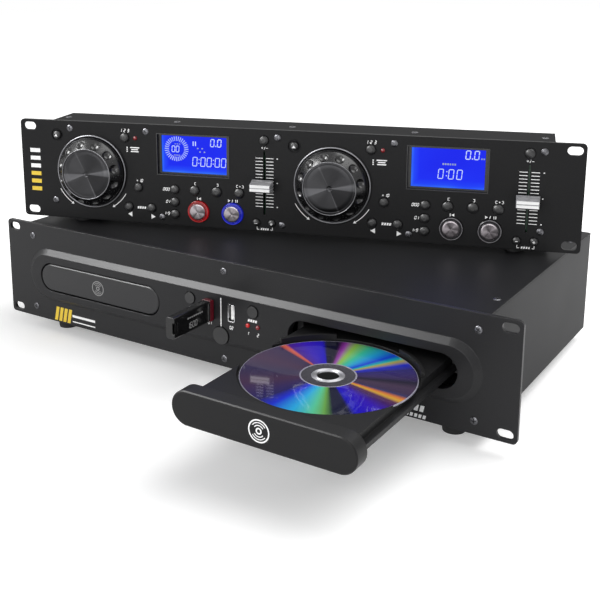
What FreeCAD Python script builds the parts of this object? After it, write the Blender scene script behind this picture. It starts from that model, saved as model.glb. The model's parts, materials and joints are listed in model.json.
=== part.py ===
"""Dual disc player for a disc jockey, in millimetres: a two unit rack transport with two
disc trays, and the two unit controller that stands on it, turned a little towards the user.

The frame is X to the right, Y back into the case and Z up.  Its origin is the centre of the
transport's four rack slots, on the front face of its panel.  Each unit is drawn in its own
frame, from the middle of its panel's lower edge, and is then moved to its place as a whole.
"""
import FreeCAD, Part
import Sketcher
import os
import re

SIZES = {
    # Both units: a panel for a 19 inch rack, and folded sheet behind it
    "rack_wide": 482.6, "rack_tall": 88.1, "plate_thick": 3, "corner_round": 3.5,
    "slot_in": 8.75, "slot_apart_tall": 76.2, "slot_long": 12, "slot_tall": 7,
    "sheet_thick": 1.2, "seat_gap": 0.3, "touch_gap": 0.1,
    # Screws: countersunk, the same through both panels and both covers
    "screw_rad": 1.5, "screw_head": 2.9, "screw_sink": 1.4, "screw_long": 7, "screw_fit": 0.1,
    # Transport case
    "case_in": 24.2, "case_back": 242, "case_low": 0.8, "case_top": 87.5,
    "flange_wide": 14, "ledge_wide": 11,
    "panel_screw_in": 6.7, "panel_screw_low": 9.9, "panel_screw_high": 76.3,
    "middle_screw_low": 6.8, "middle_screw_high": 80.1,
    "lid_screw_in": 7.1, "lid_screw_front": 34.6, "lid_screw_short": 37,
    "foot_room": 0.2, "foot_front": 18, "foot_short": 27, "foot_tall": 10, "foot_rad": 9.5,
    "foot_taper": 1.2,
    # Raised band across the transport panel
    "band_in": 26.3, "band_mid": 42.9, "band_tall": 47.8, "band_rise": 4, "band_inset": 4.8,
    # Tray mouths and trays
    "mouth_room": 0.2, "mouth_tall": 26.2, "mouth_mid": 42.4,
    "bezel_gap": 1.1, "bezel_thick": 12, "bezel_bevel": 0.8, "tray_travel": 142,
    "rail_room": 0.5, "tray_long": 158, "tray_top": 48.8, "tray_thick": 5.8,
    "skirt_wide": 4, "skirt_low": 38.5, "rail_out": 4.5, "rail_low": 39.5, "rail_tall": 3.5,
    "disc_back": 84, "disc_rad": 60, "disc_hole": 7.5, "disc_thick": 1.2, "disc_floor": 46.2,
    "disc_room": 1.5, "small_rad": 41, "small_floor": 45.2, "window_rad": 19, "window_long": 52,
    "rib_thick": 2.5, "rib_top": 51.8, "rib_from": 27, "rib_turn": 39,
    # Loader frame under and beside each tray
    "frame_half": 68, "frame_front": 10, "frame_long": 180, "frame_floor": 24, "floor_thick": 3,
    "wall_thick": 5, "wall_top": 51, "lip_thick": 2.2, "leg_rad": 5, "leg_in": 9,
    "bridge_from": 66, "bridge_deep": 28, "bridge_low": 54.5, "bridge_thick": 2.5,
    "clamp_rad": 15, "clamp_low": 50,
    "motor_rad": 12, "motor_tall": 8.5, "spindle_rad": 1.5, "spindle_fit": 0.05,
    "platter_rad": 14.5, "platter_low": 38, "platter_thick": 2, "hub_rad": 7.2, "hub_tall": 2.2,
    "hub_taper": 1.2, "pickup_wide": 30, "pickup_deep": 20, "pickup_tall": 8,
    "pickup_from": 20, "lens_rad": 3.5, "lens_tall": 1.2,
    # Buttons of the transport
    "eject_out": 30.3, "eject_up": 53.6, "eject_rad": 4.7, "power_up": 28, "power_rad": 7.2,
    "key_proud": 1, "key_deep": 14, "key_fit": 0.5, "key_press": 1, "key_lip": 1.5,
    "key_lip_thick": 1.2, "led_out": 30.3, "led_apart": 9.3, "led_up": 41.8, "led_rad": 1.5,
    # USB ports, and the memory stick in the left one
    "port_out": 10.1, "port_up": 48.4, "port_wide": 6.4, "port_tall": 14.4, "port_round": 1.4,
    "port_wall": 0.5, "port_proud": 0.3, "tongue_thick": 1.6,
    "tongue_tall": 10.8, "tongue_deep": 9,
    "stick_wide": 8, "stick_tall": 17, "stick_long": 50, "stick_round": 1.6, "stick_gap": 0.6,
    "plug_wide": 4.6, "plug_tall": 12, "plug_long": 11, "plug_wall": 0.35,
    "loop_wide": 4, "loop_tall": 9,
    # Boards of the transport
    "board_gap": 7.3, "board_front": 60, "board_short": 32, "board_up": 8, "board_thick": 1.6,
    "post_rad": 3, "post_in": 6, "coil_wide": 48, "coil_deep": 42, "coil_tall": 40,
    "coil_short": 92, "can_rad": 8, "can_tall": 25, "chip_wide": 20, "chip_tall": 2.4,
    "front_board_gap": 6.3, "front_board_low": 14, "front_board_tall": 54,
    "switch_wide": 6, "switch_deep": 3,
    # Sockets in the back of the transport
    "phono_rad": 4.1, "phono_long": 9, "phono_out": 150, "phono_apart": 30, "phono_low": 30,
    "phono_rise": 19, "phono_hole": 1.7, "block_wide": 16, "block_tall": 38, "block_deep": 13,
    "link_out": 22, "link_up": 40, "link_rad": 7.2, "link_core": 4.4, "link_proud": 1.5,
    "mains_out": 150, "mains_up": 40, "mains_wide": 27, "mains_tall": 20, "mains_deep": 22,
    "mains_rim": 4, "mains_hollow": 16, "blade_wide": 2, "blade_tall": 4, "blade_long": 10,
    "blade_apart": 7, "socket_fit": 0.3,
    # Controller: its place on the transport, and its case
    "controller_x": 2, "controller_y": 84.2, "controller_turn": 18.2, "pad_tall": 6.2,
    "pad_in": 27.9, "pad_front": 14, "pad_back": 46, "pad_rad": 7,
    "box_in": 23.4, "box_back": 58, "box_low": 2, "box_top": 85.5,
    "tab_wide": 7, "tab_tall": 9, "side_tab_wide": 11, "side_tab_tall": 7.4,
    "side_screw_in": 7.9, "top_screw_back": 32,
    "control_front": 9, "control_in": 5.9, "control_low": 5, "control_tall": 77,
    # Display window and module
    "window_low": 45, "window_wide": 64, "window_tall": 35,
    "module_rim": 3.5, "module_step": 1.2, "glass_rim": 2.6,
    # Jog wheel
    "jog_z": 44, "ring_rad": 32.5, "ring_wall": 1.4, "ring_rise": 2.6,
    "jog_rad": 30.4, "jog_lift": 0.8, "jog_skirt": 5, "jog_shoulder": 28.6,
    "jog_shoulder_rise": 8.2, "jog_rise": 14.3, "jog_lip": 0.7, "face_rad": 21.8,
    "face_sink": 0.5, "face_thick": 1.5, "shaft_rad": 3, "shaft_long": 8,
    "shaft_fit": 0.3, "encoder_rad": 8, "encoder_deep": 4.6,
    "dimple_count": 12, "dimple_ring": 27.2, "dimple_out": 14.6, "dimple_rad": 4.6,
    # Round buttons of the controller
    "cap_rad": 3.9, "loop_rad": 4.2, "tiny_rad": 3.1, "cap_proud": 2.8, "cap_crown": 0.5,
    "cap_shoulder": 1.4,
    "cap_fit": 0.3, "cap_lip": 1, "cap_lip_thick": 0.9, "cap_stem": 1.6, "cap_reach": 2.4,
    "cap_press": 0.7, "well_rad": 5.5, "well_deep": 1.1,
    "glow_rad": 9.4, "glow_proud": 2.2, "metal_rad": 7.1, "metal_proud": 1.2, "metal_sink": 2,
    "metal_gap": 0.15, "metal_bevel": 0.5,
    # Pitch fader
    "fader_low": 14.5, "fader_high": 69.8, "fader_slot": 1.6,
    "fader_rest": 41, "grip_wide": 18.4, "grip_back": 10.5, "grip_front": 5.8, "grip_from": 6,
    "grip_deep": 10, "grip_taper": 0.5, "grip_line": 0.7, "stem_thick": 0.9, "stem_tall": 6,
    "stem_reach": 4.6, "slider_wide": 9, "slider_from": 5,
    # Sockets in the back of the controller
    "plug_out": 60, "plug_up": 44,
}

# Sizes that follow from those above.  The controls of a deck stand at shares of its width.
FOLLOWS = {
    "slot_apart_wide": "rack_wide - 2 * slot_in",
    "case_half": "rack_wide / 2 - case_in", "box_half": "rack_wide / 2 - box_in",
    "band_half": "rack_wide / 2 - band_in",
    "panel_screw_out": "case_half - panel_screw_in", "lid_screw_out": "case_half - lid_screw_in",
    "lid_screw_back": "case_back - lid_screw_short",
    "foot_back": "case_back - foot_short",
    "tray_apart": "case_half * 130.3 / 217.1",
    "tray_half": "frame_half - wall_thick - rail_out - rail_room",
    "mouth_wide": "2 * (frame_half + mouth_room)",
    "foot_out": "tray_apart + frame_half + foot_room - foot_rad",
    "board_half": "tray_apart - frame_half - board_gap",
    "board_deep": "case_back - board_short - board_front",
    "coil_from": "case_back - coil_short",
    "front_board_half": "tray_apart - frame_half - front_board_gap",
    "pad_out": "box_half - pad_in", "control_half": "box_half - control_in",
    "side_screw_out": "box_half - side_screw_in",
    "deck_share": "box_half / 217.9",
    "deck_pitch": "deck_share * 215.5", "top_screw_apart": "deck_share * 105",
    "window_left": "deck_share * -112", "jog_x": "deck_share * -173.5",
    "fader_x": "deck_share * -16.4",
}

# Places of a deck's round buttons: name, across and up, for the left deck
BUTTONS = (
    ("eject_key", "jog_x - ring_rad", 75.2, "cap_rad - 0.4"),
    ("jog_mode_key", "deck_share * -142", 75.4, "cap_rad"),
    ("plus_ten_key", "deck_share * -130.5", 31.9, "cap_rad"),
    ("track_back_key", "deck_share * -139.8", 14, "cap_rad"),
    ("track_next_key", "deck_share * -118.6", 14, "cap_rad"),
    ("time_key", "deck_share * -96.7", 31.9, "cap_rad"),
    ("single_key", "deck_share * -96.7", 20.9, "cap_rad"),
    ("program_key", "deck_share * -96.7", 10, "cap_rad"),
    ("loop_in_key", "deck_share * -78.7", 32, "loop_rad"),
    ("loop_out_key", "deck_share * -58.7", 32, "loop_rad"),
    ("reloop_key", "deck_share * -38.7", 32, "loop_rad"),
    ("pitch_key", "deck_share * -16.6", 78.7, "cap_rad"),
    ("bend_down_key", "deck_share * -23.3", 7.5, "tiny_rad"),
    ("bend_up_key", "deck_share * -9.8", 7.5, "tiny_rad"),
)
GLOW_BUTTONS = (("cue_key", "deck_share * -75.2", 13.8), ("play_key", "deck_share * -44.6", 13.8))
DECKS = (("left", "0"), ("right", "deck_pitch"))
# Countersunk screws of the controller's panel, and the edge of the case each one holds
EDGE_SCREWS = [(f"deck_share * {x}", z) for x, z in (
    (-193.7, 81.5), (-122.5, 81.5), (-5, 81.5), (92.5, 81.5), (-109, 6.3), (-1, 6.3),
    (106, 6.3))]
SIDE_SCREWS = [("-side_screw_out", 15.8), ("side_screw_out", 15.8), ("side_screw_out", 80.5)]

doc = FreeCAD.newDocument("DualDiscPlayer")
sheet = doc.addObject("Spreadsheet::Sheet", "Sizes")
named = list(SIZES.items()) + [(name, "=" + text) for name, text in FOLLOWS.items()]
for row, (name, value) in enumerate(named, 1):
    sheet.set(f"A{row}", name)
    sheet.setAlias(f"B{row}", name)
    sheet.set(f"B{row}", str(value))
doc.recompute()

WAYS = {
    "up": FreeCAD.Rotation(),
    "down": FreeCAD.Rotation(FreeCAD.Vector(1, 0, 0), 180),
    "back": FreeCAD.Rotation(FreeCAD.Vector(1, 0, 0), -90),
    "front": FreeCAD.Rotation(FreeCAD.Vector(1, 0, 0), 90),
}
SUBPARTS = []


# ---------------------------------------------------------------- how pieces are drawn

def cells(text):
    """The expression with each size's name pointed at its cell of the sheet."""
    def point(word):
        known = word.group() in SIZES or word.group() in FOLLOWS
        return "Sizes." + word.group() if known else word.group()
    return re.sub(r"[a-z_]+", point, str(text))


def bind(item, **sizes):
    for name, text in sizes.items():
        item.setExpression(name, cells(text))
    return item


def move(item, x, y, z):
    for axis, text in zip("xyz", (x, y, z)):
        item.setExpression("Placement.Base." + axis, cells(text))
    return item


def block(x, y, z, wide, deep, tall):
    """A box from its left, front, lower corner."""
    box = doc.addObject("Part::Box", "block")
    return move(bind(box, Length=wide, Width=deep, Height=tall), x, y, z)


def slab(x, y, z, wide, deep, tall):
    """A box centred on x and z, which starts at y."""
    return block(f"{x} - ({wide}) / 2", y, f"{z} - ({tall}) / 2", wide, deep, tall)


def rod(x, y, z, radius, long, way="back"):
    bar = doc.addObject("Part::Cylinder", "rod")
    bar.Placement.Rotation = WAYS[way]
    return move(bind(bar, Radius=radius, Height=long), x, y, z)


def cone(x, y, z, radius, far_radius, long, way="back"):
    taper = doc.addObject("Part::Cone", "cone")
    taper.Placement.Rotation = WAYS[way]
    return move(bind(taper, Radius1=radius, Radius2=far_radius, Height=long), x, y, z)


def join(*pieces):
    whole = doc.addObject("Part::MultiFuse", "join")
    whole.Shapes = list(pieces)
    whole.Refine = True
    return whole


def group(*pieces):
    together = doc.addObject("Part::Compound", "group")
    together.Links = list(pieces)
    return together


def cut(base, *tools):
    rest = doc.addObject("Part::Cut", "cut")
    rest.Base = base
    rest.Tool = tools[0] if len(tools) == 1 else group(*tools)
    rest.Refine = True
    return rest


def pill(x, y, z, wide, tall, deep):
    """A bar with half round ends, long in X, which starts at y."""
    half = f"(({wide}) - ({tall})) / 2"
    return join(slab(x, y, z, f"({wide}) - ({tall})", deep, tall),
                rod(f"{x} - {half}", y, z, f"({tall}) / 2", deep),
                rod(f"{x} + {half}", y, z, f"({tall}) / 2", deep))


def bevel_pill(x, y, z, wide, tall, rise, inset):
    """A pill that narrows by the inset all round as it rises from y towards the front."""
    half = f"(({wide}) - ({tall})) / 2"
    middle = doc.addObject("Part::Wedge", "bevel")
    long = f"({wide}) - ({tall})"
    bind(middle, Xmin="0", X2min="0", Xmax=long, X2max=long, Ymin="0", Ymax=rise,
         Zmin=inset, Zmax=f"({tall}) - ({inset})", Z2min="0", Z2max=tall)
    move(middle, f"{x} - {half}", f"{y} - ({rise})", f"{z} - ({tall}) / 2")
    ends = [cone(f"{x} {sign} {half}", y, z, f"({tall}) / 2", f"({tall}) / 2 - ({inset})",
                 rise, "front") for sign in "-+"]
    return join(middle, *ends)


def rounded(x, y, z, wide, tall, deep, radius):
    """A plate with round corners, centred on x and z, which starts at y."""
    across = f"({wide}) / 2 - ({radius})"
    upward = f"({tall}) / 2 - ({radius})"
    corners = [rod(f"{x} {side} ({across})", y, f"{z} {end} ({upward})", radius, deep)
               for side in "-+" for end in "-+"]
    return join(slab(x, y, z, f"({wide}) - 2 * ({radius})", deep, tall),
                slab(x, y, z, wide, deep, f"({tall}) - 2 * ({radius})"), *corners)


def screw(x, y, z, way="back"):
    """A countersunk screw, its head's face at the given point."""
    return join(cone(x, y, z, "screw_head", "screw_rad", "screw_sink", way),
                rod(x, y, z, "screw_rad", "screw_long", way))


def screw_hole(x, y, z, way="back"):
    """What a countersunk screw takes out of a sheet, with its running room."""
    return join(cone(x, y, z, "screw_head + screw_fit", "screw_rad + screw_fit",
                     "screw_sink + screw_fit", way),
                rod(x, y, z, "screw_rad + screw_fit", "2 * screw_long", way))


def drill(x, z, radius, start="-20", long="60"):
    """A hole right through a panel."""
    return rod(x, start, z, radius, long)


def subpart(label, unit, *pieces):
    """Names a finished sub-part and moves it with its unit."""
    whole = pieces[0] if len(pieces) == 1 else group(*pieces)
    if unit == "transport":
        place = "create(<<vector>>; 0; 0; -rack_tall / 2); create(<<rotation>>; 0; 0; 0)"
    else:
        place = ("create(<<vector>>; controller_x; controller_y; "
                 "case_top + pad_tall - box_low - rack_tall / 2); "
                 "create(<<rotation>>; controller_turn; 0; 0)")
    whole.setExpression("Placement", cells(f"create(<<placement>>; {place})"))
    whole.Label = label
    SUBPARTS.append(whole)
    return whole


def rack_plate():
    """The bare panel of a unit."""
    return rounded("0", "0", "rack_tall / 2", "rack_wide", "rack_tall", "plate_thick",
                   "corner_round")


def rack_slots():
    return [pill(f"{side} slot_apart_wide / 2", "-1", f"rack_tall / 2 {end} slot_apart_tall / 2",
                 "slot_long", "slot_tall", "plate_thick + 2") for side in "-+" for end in "-+"]


# ---------------------------------------------------------------- transport: panel and case

TRAYS = (("left", "-tray_apart", "0"), ("right", "tray_apart", "tray_travel"))
PANEL_SCREWS = [(f"{side}panel_screw_out", level) for side in ("-", "")
                for level in ("panel_screw_low", "panel_screw_high")]
PANEL_SCREWS += [("0", "middle_screw_low"), ("0", "middle_screw_high")]
LID_SCREWS = [(f"{side}lid_screw_out", depth) for side in ("-", "")
              for depth in ("lid_screw_front", "lid_screw_back")]
FRONT_BOARD = "key_deep - band_rise - key_proud"
LEDS = [f"{side} led_out {way} led_apart / 2" for side in "-+" for way in "-+"]


def transport_panel():
    """Steel panel with the raised band, the mouths and the holes for the keys."""
    band = bevel_pill("0", "0", "band_mid", "2 * band_half", "band_tall", "band_rise",
                      "band_inset")
    holes = rack_slots()
    holes += [pill(x, "-20", "mouth_mid", "mouth_wide", "mouth_tall", "60")
              for _, x, _ in TRAYS]
    holes += [drill(f"{side}eject_out", "eject_up", "eject_rad + key_fit") for side in ("-", "")]
    holes += [drill("0", "power_up", "power_rad + key_fit")]
    holes += [drill(x, "led_up", "led_rad + touch_gap") for x in LEDS]
    holes += [rounded(f"{side}port_out", "-20", "port_up", "port_wide + 2 * seat_gap",
                      "port_tall + 2 * seat_gap", "60", "port_round + seat_gap")
              for side in ("-", "")]
    holes += [screw_hole(x, "0", z) for x, z in PANEL_SCREWS]
    subpart("transport_panel", "transport", cut(join(rack_plate(), band), *holes))


def chassis():
    """Folded tray of sheet steel: floor, sides, back, and the edges that are screwed to."""
    inside_low = "case_low + sheet_thick"
    top = "case_top - sheet_thick"
    front = "plate_thick"
    deep = "case_back - plate_thick"
    full = "2 * case_half"
    walls = [
        block("-case_half", front, "case_low", full, deep, "sheet_thick"),
        block("-case_half", "case_back - sheet_thick", "case_low", full, "sheet_thick",
              f"{top} - case_low"),
        slab("0", front, "case_low + flange_wide / 2", full, "sheet_thick", "flange_wide"),
        slab("0", front, f"{top} - flange_wide / 2", full, "sheet_thick", "flange_wide"),
        block("-case_half", "case_back - ledge_wide", f"{top} - sheet_thick", full,
              "ledge_wide", "sheet_thick"),
    ]
    for sign, edge in (("-", "0"), ("", "1")):
        for wide, height, deepness, low in (
                ("sheet_thick", f"{top} - case_low", deep, "case_low"),
                ("flange_wide", f"{top} - case_low", "sheet_thick", "case_low"),
                ("ledge_wide", "sheet_thick", deep, f"{top} - sheet_thick")):
            walls.append(block(f"{sign}case_half - {edge} * {wide}", front, low, wide,
                               deepness, height))
    back_holes = [
        rounded(f"{side}phono_out + {way} * phono_apart / 2", "case_back - 5",
                f"phono_low + {level} * phono_rise", "2 * (phono_rad + socket_fit)",
                "2 * (phono_rad + socket_fit)", "10", "phono_rad + socket_fit - 0.01")
        for side in ("-",) for way in (-1, 1) for level in (0, 1)]
    back_holes += [rod(f"{side}link_out", "case_back - 5", "link_up", "link_rad + socket_fit",
                       "10") for side in ("-", "")]
    back_holes += [slab("mains_out", "case_back - 5", "mains_up", "mains_wide + 2 * socket_fit",
                        "10", "mains_tall + 2 * socket_fit")]
    holes = [rod(x, "0", z, "screw_rad + screw_fit", "10") for x, z in PANEL_SCREWS]
    holes += [screw_hole(x, y, "case_top", "down") for x, y in LID_SCREWS]
    holes += [pill(x, "0", "mouth_mid", "mouth_wide", "mouth_tall", "10") for _, x, _ in TRAYS]
    subpart("chassis", "transport", cut(join(*walls), *back_holes, *holes))


def top_cover():
    lid = block("-case_half", "plate_thick", "case_top - sheet_thick", "2 * case_half",
                "case_back - plate_thick", "sheet_thick")
    holes = [screw_hole(x, y, "case_top", "down") for x, y in LID_SCREWS]
    subpart("top_cover", "transport", cut(lid, *holes))


def transport_screws():
    screws = [screw(x, "0", z) for x, z in PANEL_SCREWS]
    screws += [screw(x, y, "case_top", "down") for x, y in LID_SCREWS]
    subpart("transport_screws", "transport", *screws)


def transport_feet():
    feet = [cone(f"{side}foot_out", depth, "case_low", "foot_rad", "foot_rad - foot_taper",
                 "foot_tall + case_low", "down")
            for side in ("-", "") for depth in ("foot_front", "foot_back")]
    subpart("transport_feet", "transport", *feet)


# ---------------------------------------------------------------- transport: the two decks

def tray(side, x, out):
    """A disc tray with its bezel; out is how far it stands open."""
    face = f"-band_rise - {out}"
    back = f"{face} + bezel_thick"
    disc_y = f"{face} + disc_back"
    wide = "mouth_wide - 2 * bezel_gap"
    tall = "mouth_tall - 2 * bezel_gap"
    bezel = join(pill(x, f"{face} + bezel_bevel", "mouth_mid", wide, tall,
                      "bezel_thick - bezel_bevel"),
                 bevel_pill(x, f"{face} + bezel_bevel", "mouth_mid", wide, tall, "bezel_bevel",
                            "bezel_bevel"))
    plate = block(f"{x} - tray_half", back, "tray_top - tray_thick", "2 * tray_half",
                  "tray_long", "tray_thick")
    rib_ring = "disc_rad + disc_room"
    ribs = []
    for start in ("rib_from", "180 - rib_from - rib_turn"):
        outer = rod(x, disc_y, "disc_floor", f"{rib_ring} + rib_thick", "rib_top - disc_floor",
                    "up")
        inner = rod(x, disc_y, "disc_floor", rib_ring, "rib_top - disc_floor", "up")
        for sector in (outer, inner):
            sector.Placement.Rotation = FreeCAD.Rotation()
            bind(sector, Angle="rib_turn")
            sector.setExpression("Placement.Rotation.Yaw", cells(start))
        ribs.append((outer, inner))
    reach = f"{rib_ring} + rib_thick"
    beside = [block(f"{x} {place}", disc_y, "disc_floor", reach, reach, "rib_top - disc_floor")
              for place in ("+ tray_half", f"- tray_half - ({reach})")]
    sides = []
    for sign, edge in (("-", 0), ("+", 1)):
        sides.append(block(f"{x} {sign} tray_half - {edge} * skirt_wide", back, "skirt_low",
                           "skirt_wide", "tray_long", "tray_top - tray_thick - skirt_low + 1"))
        sides.append(block(f"{x} {sign} tray_half - {1 - edge} * rail_out", back, "rail_low",
                           "rail_out", "tray_long", "rail_tall"))
    sunk = [rod(x, disc_y, "disc_floor", rib_ring, "20", "up"),
            rod(x, disc_y, "small_floor", "small_rad", "20", "up"),
            rod(x, disc_y, "0", "window_rad", "80", "up"),
            block(f"{x} - window_rad", disc_y, "0", "2 * window_rad", "window_long", "80")]
    plate = cut(join(plate, *sides), join(*sunk))
    whole = join(plate, *[cut(cut(outer, inner), *beside) for outer, inner in ribs])
    subpart(side + "_tray", "transport", whole, bezel)


def disc():
    """The disc that lies in the open tray."""
    y = "disc_back - band_rise - tray_travel"
    low = "disc_floor + touch_gap"
    ring = cut(rod("tray_apart", y, low, "disc_rad", "disc_thick", "up"),
               rod("tray_apart", y, "0", "disc_hole", "90", "up"))
    subpart("disc", "transport", ring)


def loader_frame(x):
    """The moulded frame that a tray runs in, with its bridge, clamp, motor and pickup."""
    disc_y = "disc_back - band_rise"
    pieces = [block(f"{x} - frame_half", "frame_front", "frame_floor", "2 * frame_half",
                    "frame_long", "floor_thick")]
    shelf_low = "rail_low - seat_gap - lip_thick"
    lip_low = "rail_low + rail_tall + seat_gap"
    for sign, edge in (("-", 0), ("+", 1)):
        def side_block(out, low, wide, tall, y="frame_front", deep="frame_long"):
            return block(f"{x} {sign} {out} - {edge} * ({wide})", y, low, wide, deep, tall)
        pieces.append(side_block("frame_half", "frame_floor", "wall_thick",
                                 "wall_top - frame_floor"))
        pieces.append(side_block("frame_half", "frame_floor", "wall_thick",
                                 "bridge_low + bridge_thick - frame_floor", "bridge_from",
                                 "bridge_deep"))
        reach = "frame_half - tray_half - seat_gap"
        pieces.append(side_block("frame_half", shelf_low, reach, "lip_thick"))
        pieces.append(side_block("frame_half", lip_low, reach, "lip_thick"))
        for depth in ("frame_front + leg_in", "frame_front + frame_long - leg_in"):
            pieces.append(rod(f"{x} {sign} (frame_half - leg_in)", depth,
                              "case_low + sheet_thick", "leg_rad",
                              "frame_floor - case_low - sheet_thick + 1", "up"))
    pieces.append(block(f"{x} - frame_half", "bridge_from", "bridge_low", "2 * frame_half",
                        "bridge_deep", "bridge_thick"))
    pieces.append(rod(x, disc_y, "clamp_low", "clamp_rad", "bridge_low - clamp_low + 1", "up"))
    bore = rod(x, disc_y, "frame_floor - 1", "spindle_rad + spindle_fit", "80", "up")
    below = rod(x, disc_y, "frame_floor + floor_thick", "motor_rad", "motor_tall", "up")
    motor = cut(below, bore)
    pickup = block(f"{x} - pickup_wide / 2", f"{disc_y} + pickup_from",
                   "frame_floor + floor_thick", "pickup_wide", "pickup_deep", "pickup_tall")
    lens = rod(x, f"{disc_y} + pickup_from + pickup_deep / 2",
               "frame_floor + floor_thick + pickup_tall", "lens_rad", "lens_tall", "up")
    return [join(*pieces), motor, join(pickup, lens)]


def loader_frames():
    subpart("loader_frames", "transport",
            *[piece for _, x, _ in TRAYS for piece in loader_frame(x)])


def turntable(side, x):
    """Spindle, platter and centring cone that spin the disc."""
    y = "disc_back - band_rise"
    floor_top = "frame_floor + floor_thick"
    spindle = rod(x, y, f"{floor_top} + 1", "spindle_rad", f"platter_low - ({floor_top})", "up")
    platter = rod(x, y, "platter_low", "platter_rad", "platter_thick", "up")
    hub = cone(x, y, "platter_low + platter_thick", "hub_rad", "hub_rad - hub_taper",
               "hub_tall", "up")
    subpart(side + "_turntable", "transport", join(spindle, platter, hub))


# ---------------------------------------------------------------- transport: keys and sockets

def flat_key(label, x, z, radius):
    """A flat key that passes through the panel, with a lip that keeps it in."""
    stem = rod(x, "-band_rise - key_proud", z, radius, "key_deep - switch_deep - key_press")
    lip = rod(x, "plate_thick + touch_gap", z, f"{radius} + key_lip", "key_lip_thick")
    subpart(label, "transport", join(stem, lip))


def usb_ports():
    """Two upright sockets: a folded shell each, with the contact tongue inside."""
    ports = []
    for side in ("-", ""):
        x = f"{side}port_out"
        front = "-band_rise - port_proud"
        deep = f"{FRONT_BOARD} - touch_gap - ({front})"
        shell = cut(rounded(x, front, "port_up", "port_wide", "port_tall", deep, "port_round"),
                    rounded(x, f"{front} - 1", "port_up", "port_wide - 2 * port_wall",
                            "port_tall - 2 * port_wall", f"{deep} - port_wall + 1",
                            "port_round - port_wall"))
        tongue = slab(x, f"{front} + {deep} - port_wall - tongue_deep", "port_up",
                      "tongue_thick", "tongue_deep + port_wall / 2", "tongue_tall")
        ports.append(join(shell, tongue))
    subpart("usb_ports", "transport", *ports)


def usb_stick():
    """A memory stick, its plug in the left port and a lanyard loop at its free end."""
    x = "-port_out"
    root = "-band_rise - port_proud - stick_gap"
    shell = rounded(x, f"{root} - stick_long", "port_up", "stick_wide", "stick_tall",
                    "stick_long", "stick_round")
    loop = slab(x, f"{root} - stick_long - 1", "port_up", "stick_wide + 2", "loop_wide + 1",
                "loop_tall")
    plug = cut(slab(x, f"{root} - 1", "port_up", "plug_wide", "plug_long + 1", "plug_tall"),
               slab(x, root, "port_up", "plug_wide - 2 * plug_wall", "plug_long + 1",
                    "plug_tall - 2 * plug_wall"))
    notch = block(f"{x} + stick_wide / 4", f"{root} - stick_long - 1",
                  "port_up - loop_tall / 2", "stick_wide / 2", "loop_wide + 1", "loop_tall")
    eye = slab(x, f"{root} - stick_long + 1", "port_up", "stick_wide + 2", "loop_wide - 2",
               "loop_tall - 3")
    subpart("usb_stick", "transport", join(cut(shell, notch, eye), plug))


def main_board():
    """Power and signal board on the floor, and the board behind the front panel."""
    floor_top = "case_low + sheet_thick"
    board_top = f"{floor_top} + board_up + board_thick"
    plate = block("-board_half", "board_front", f"{floor_top} + board_up", "2 * board_half",
                  "board_deep", "board_thick")
    posts = [rod(f"{side} (board_half - post_in)", depth, floor_top, "post_rad",
                 "board_up + board_thick / 2", "up") for side in "-+"
             for depth in ("board_front + post_in", "board_front + board_deep - post_in")]
    coil = block("-coil_wide / 2", "coil_from", board_top, "coil_wide", "coil_deep", "coil_tall")
    cans = [rod(f"{side} can_rad * 1.5", "board_front + board_deep / 3", board_top, "can_rad",
                "can_tall", "up") for side in "-+"]
    chips = [block(f"{side} chip_wide - chip_wide / 2", "board_front + post_in", board_top,
                   "chip_wide", "chip_wide", "chip_tall") for side in "-+"]
    front = FRONT_BOARD
    wall = block("-front_board_half", front, "front_board_low", "2 * front_board_half",
                 "board_thick", "front_board_tall")
    parts = [slab(x, f"{front} - switch_deep", z, "switch_wide", "switch_deep", "switch_wide")
             for x, z in (("-eject_out", "eject_up"), ("eject_out", "eject_up"),
                          ("0", "power_up"))]
    parts += [rod(x, "-band_rise", "led_up", "led_rad", f"{front} + band_rise") for x in LEDS]
    legs = [block(f"{side} (front_board_half - post_in) - post_rad", front, floor_top,
                  "2 * post_rad", "board_thick", f"front_board_low - ({floor_top})")
            for side in "-+"]
    subpart("main_board", "transport", join(plate, *posts), coil, *cans, *chips,
            join(wall, *legs), *parts)


def phono_pair(x):
    """A moulded block with two phono sockets, one above the other."""
    y = "case_back - sheet_thick"
    body = slab(x, f"{y} - block_deep", "phono_low + phono_rise / 2", "block_wide",
                "block_deep", "block_tall")
    barrels = [rod(x, f"{y} - 1", f"phono_low + {level} * phono_rise", "phono_rad",
                   "phono_long + sheet_thick + 1") for level in (0, 1)]
    bores = [rod(x, f"{y} + sheet_thick", f"phono_low + {level} * phono_rise", "phono_hole",
                 "phono_long + 5") for level in (0, 1)]
    return cut(join(body, *barrels), *bores)


def link_socket(x, z, back):
    """A round multi-pin socket for the lead between the two units."""
    body = rod(x, f"{back} - 10", z, "link_rad", "10 + link_proud")
    groove = cut(rod(x, f"{back} + link_proud - 3", z, "link_rad - 1", "5"),
                 rod(x, f"{back} - 5", z, "link_core", "10"))
    return cut(body, groove)


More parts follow.
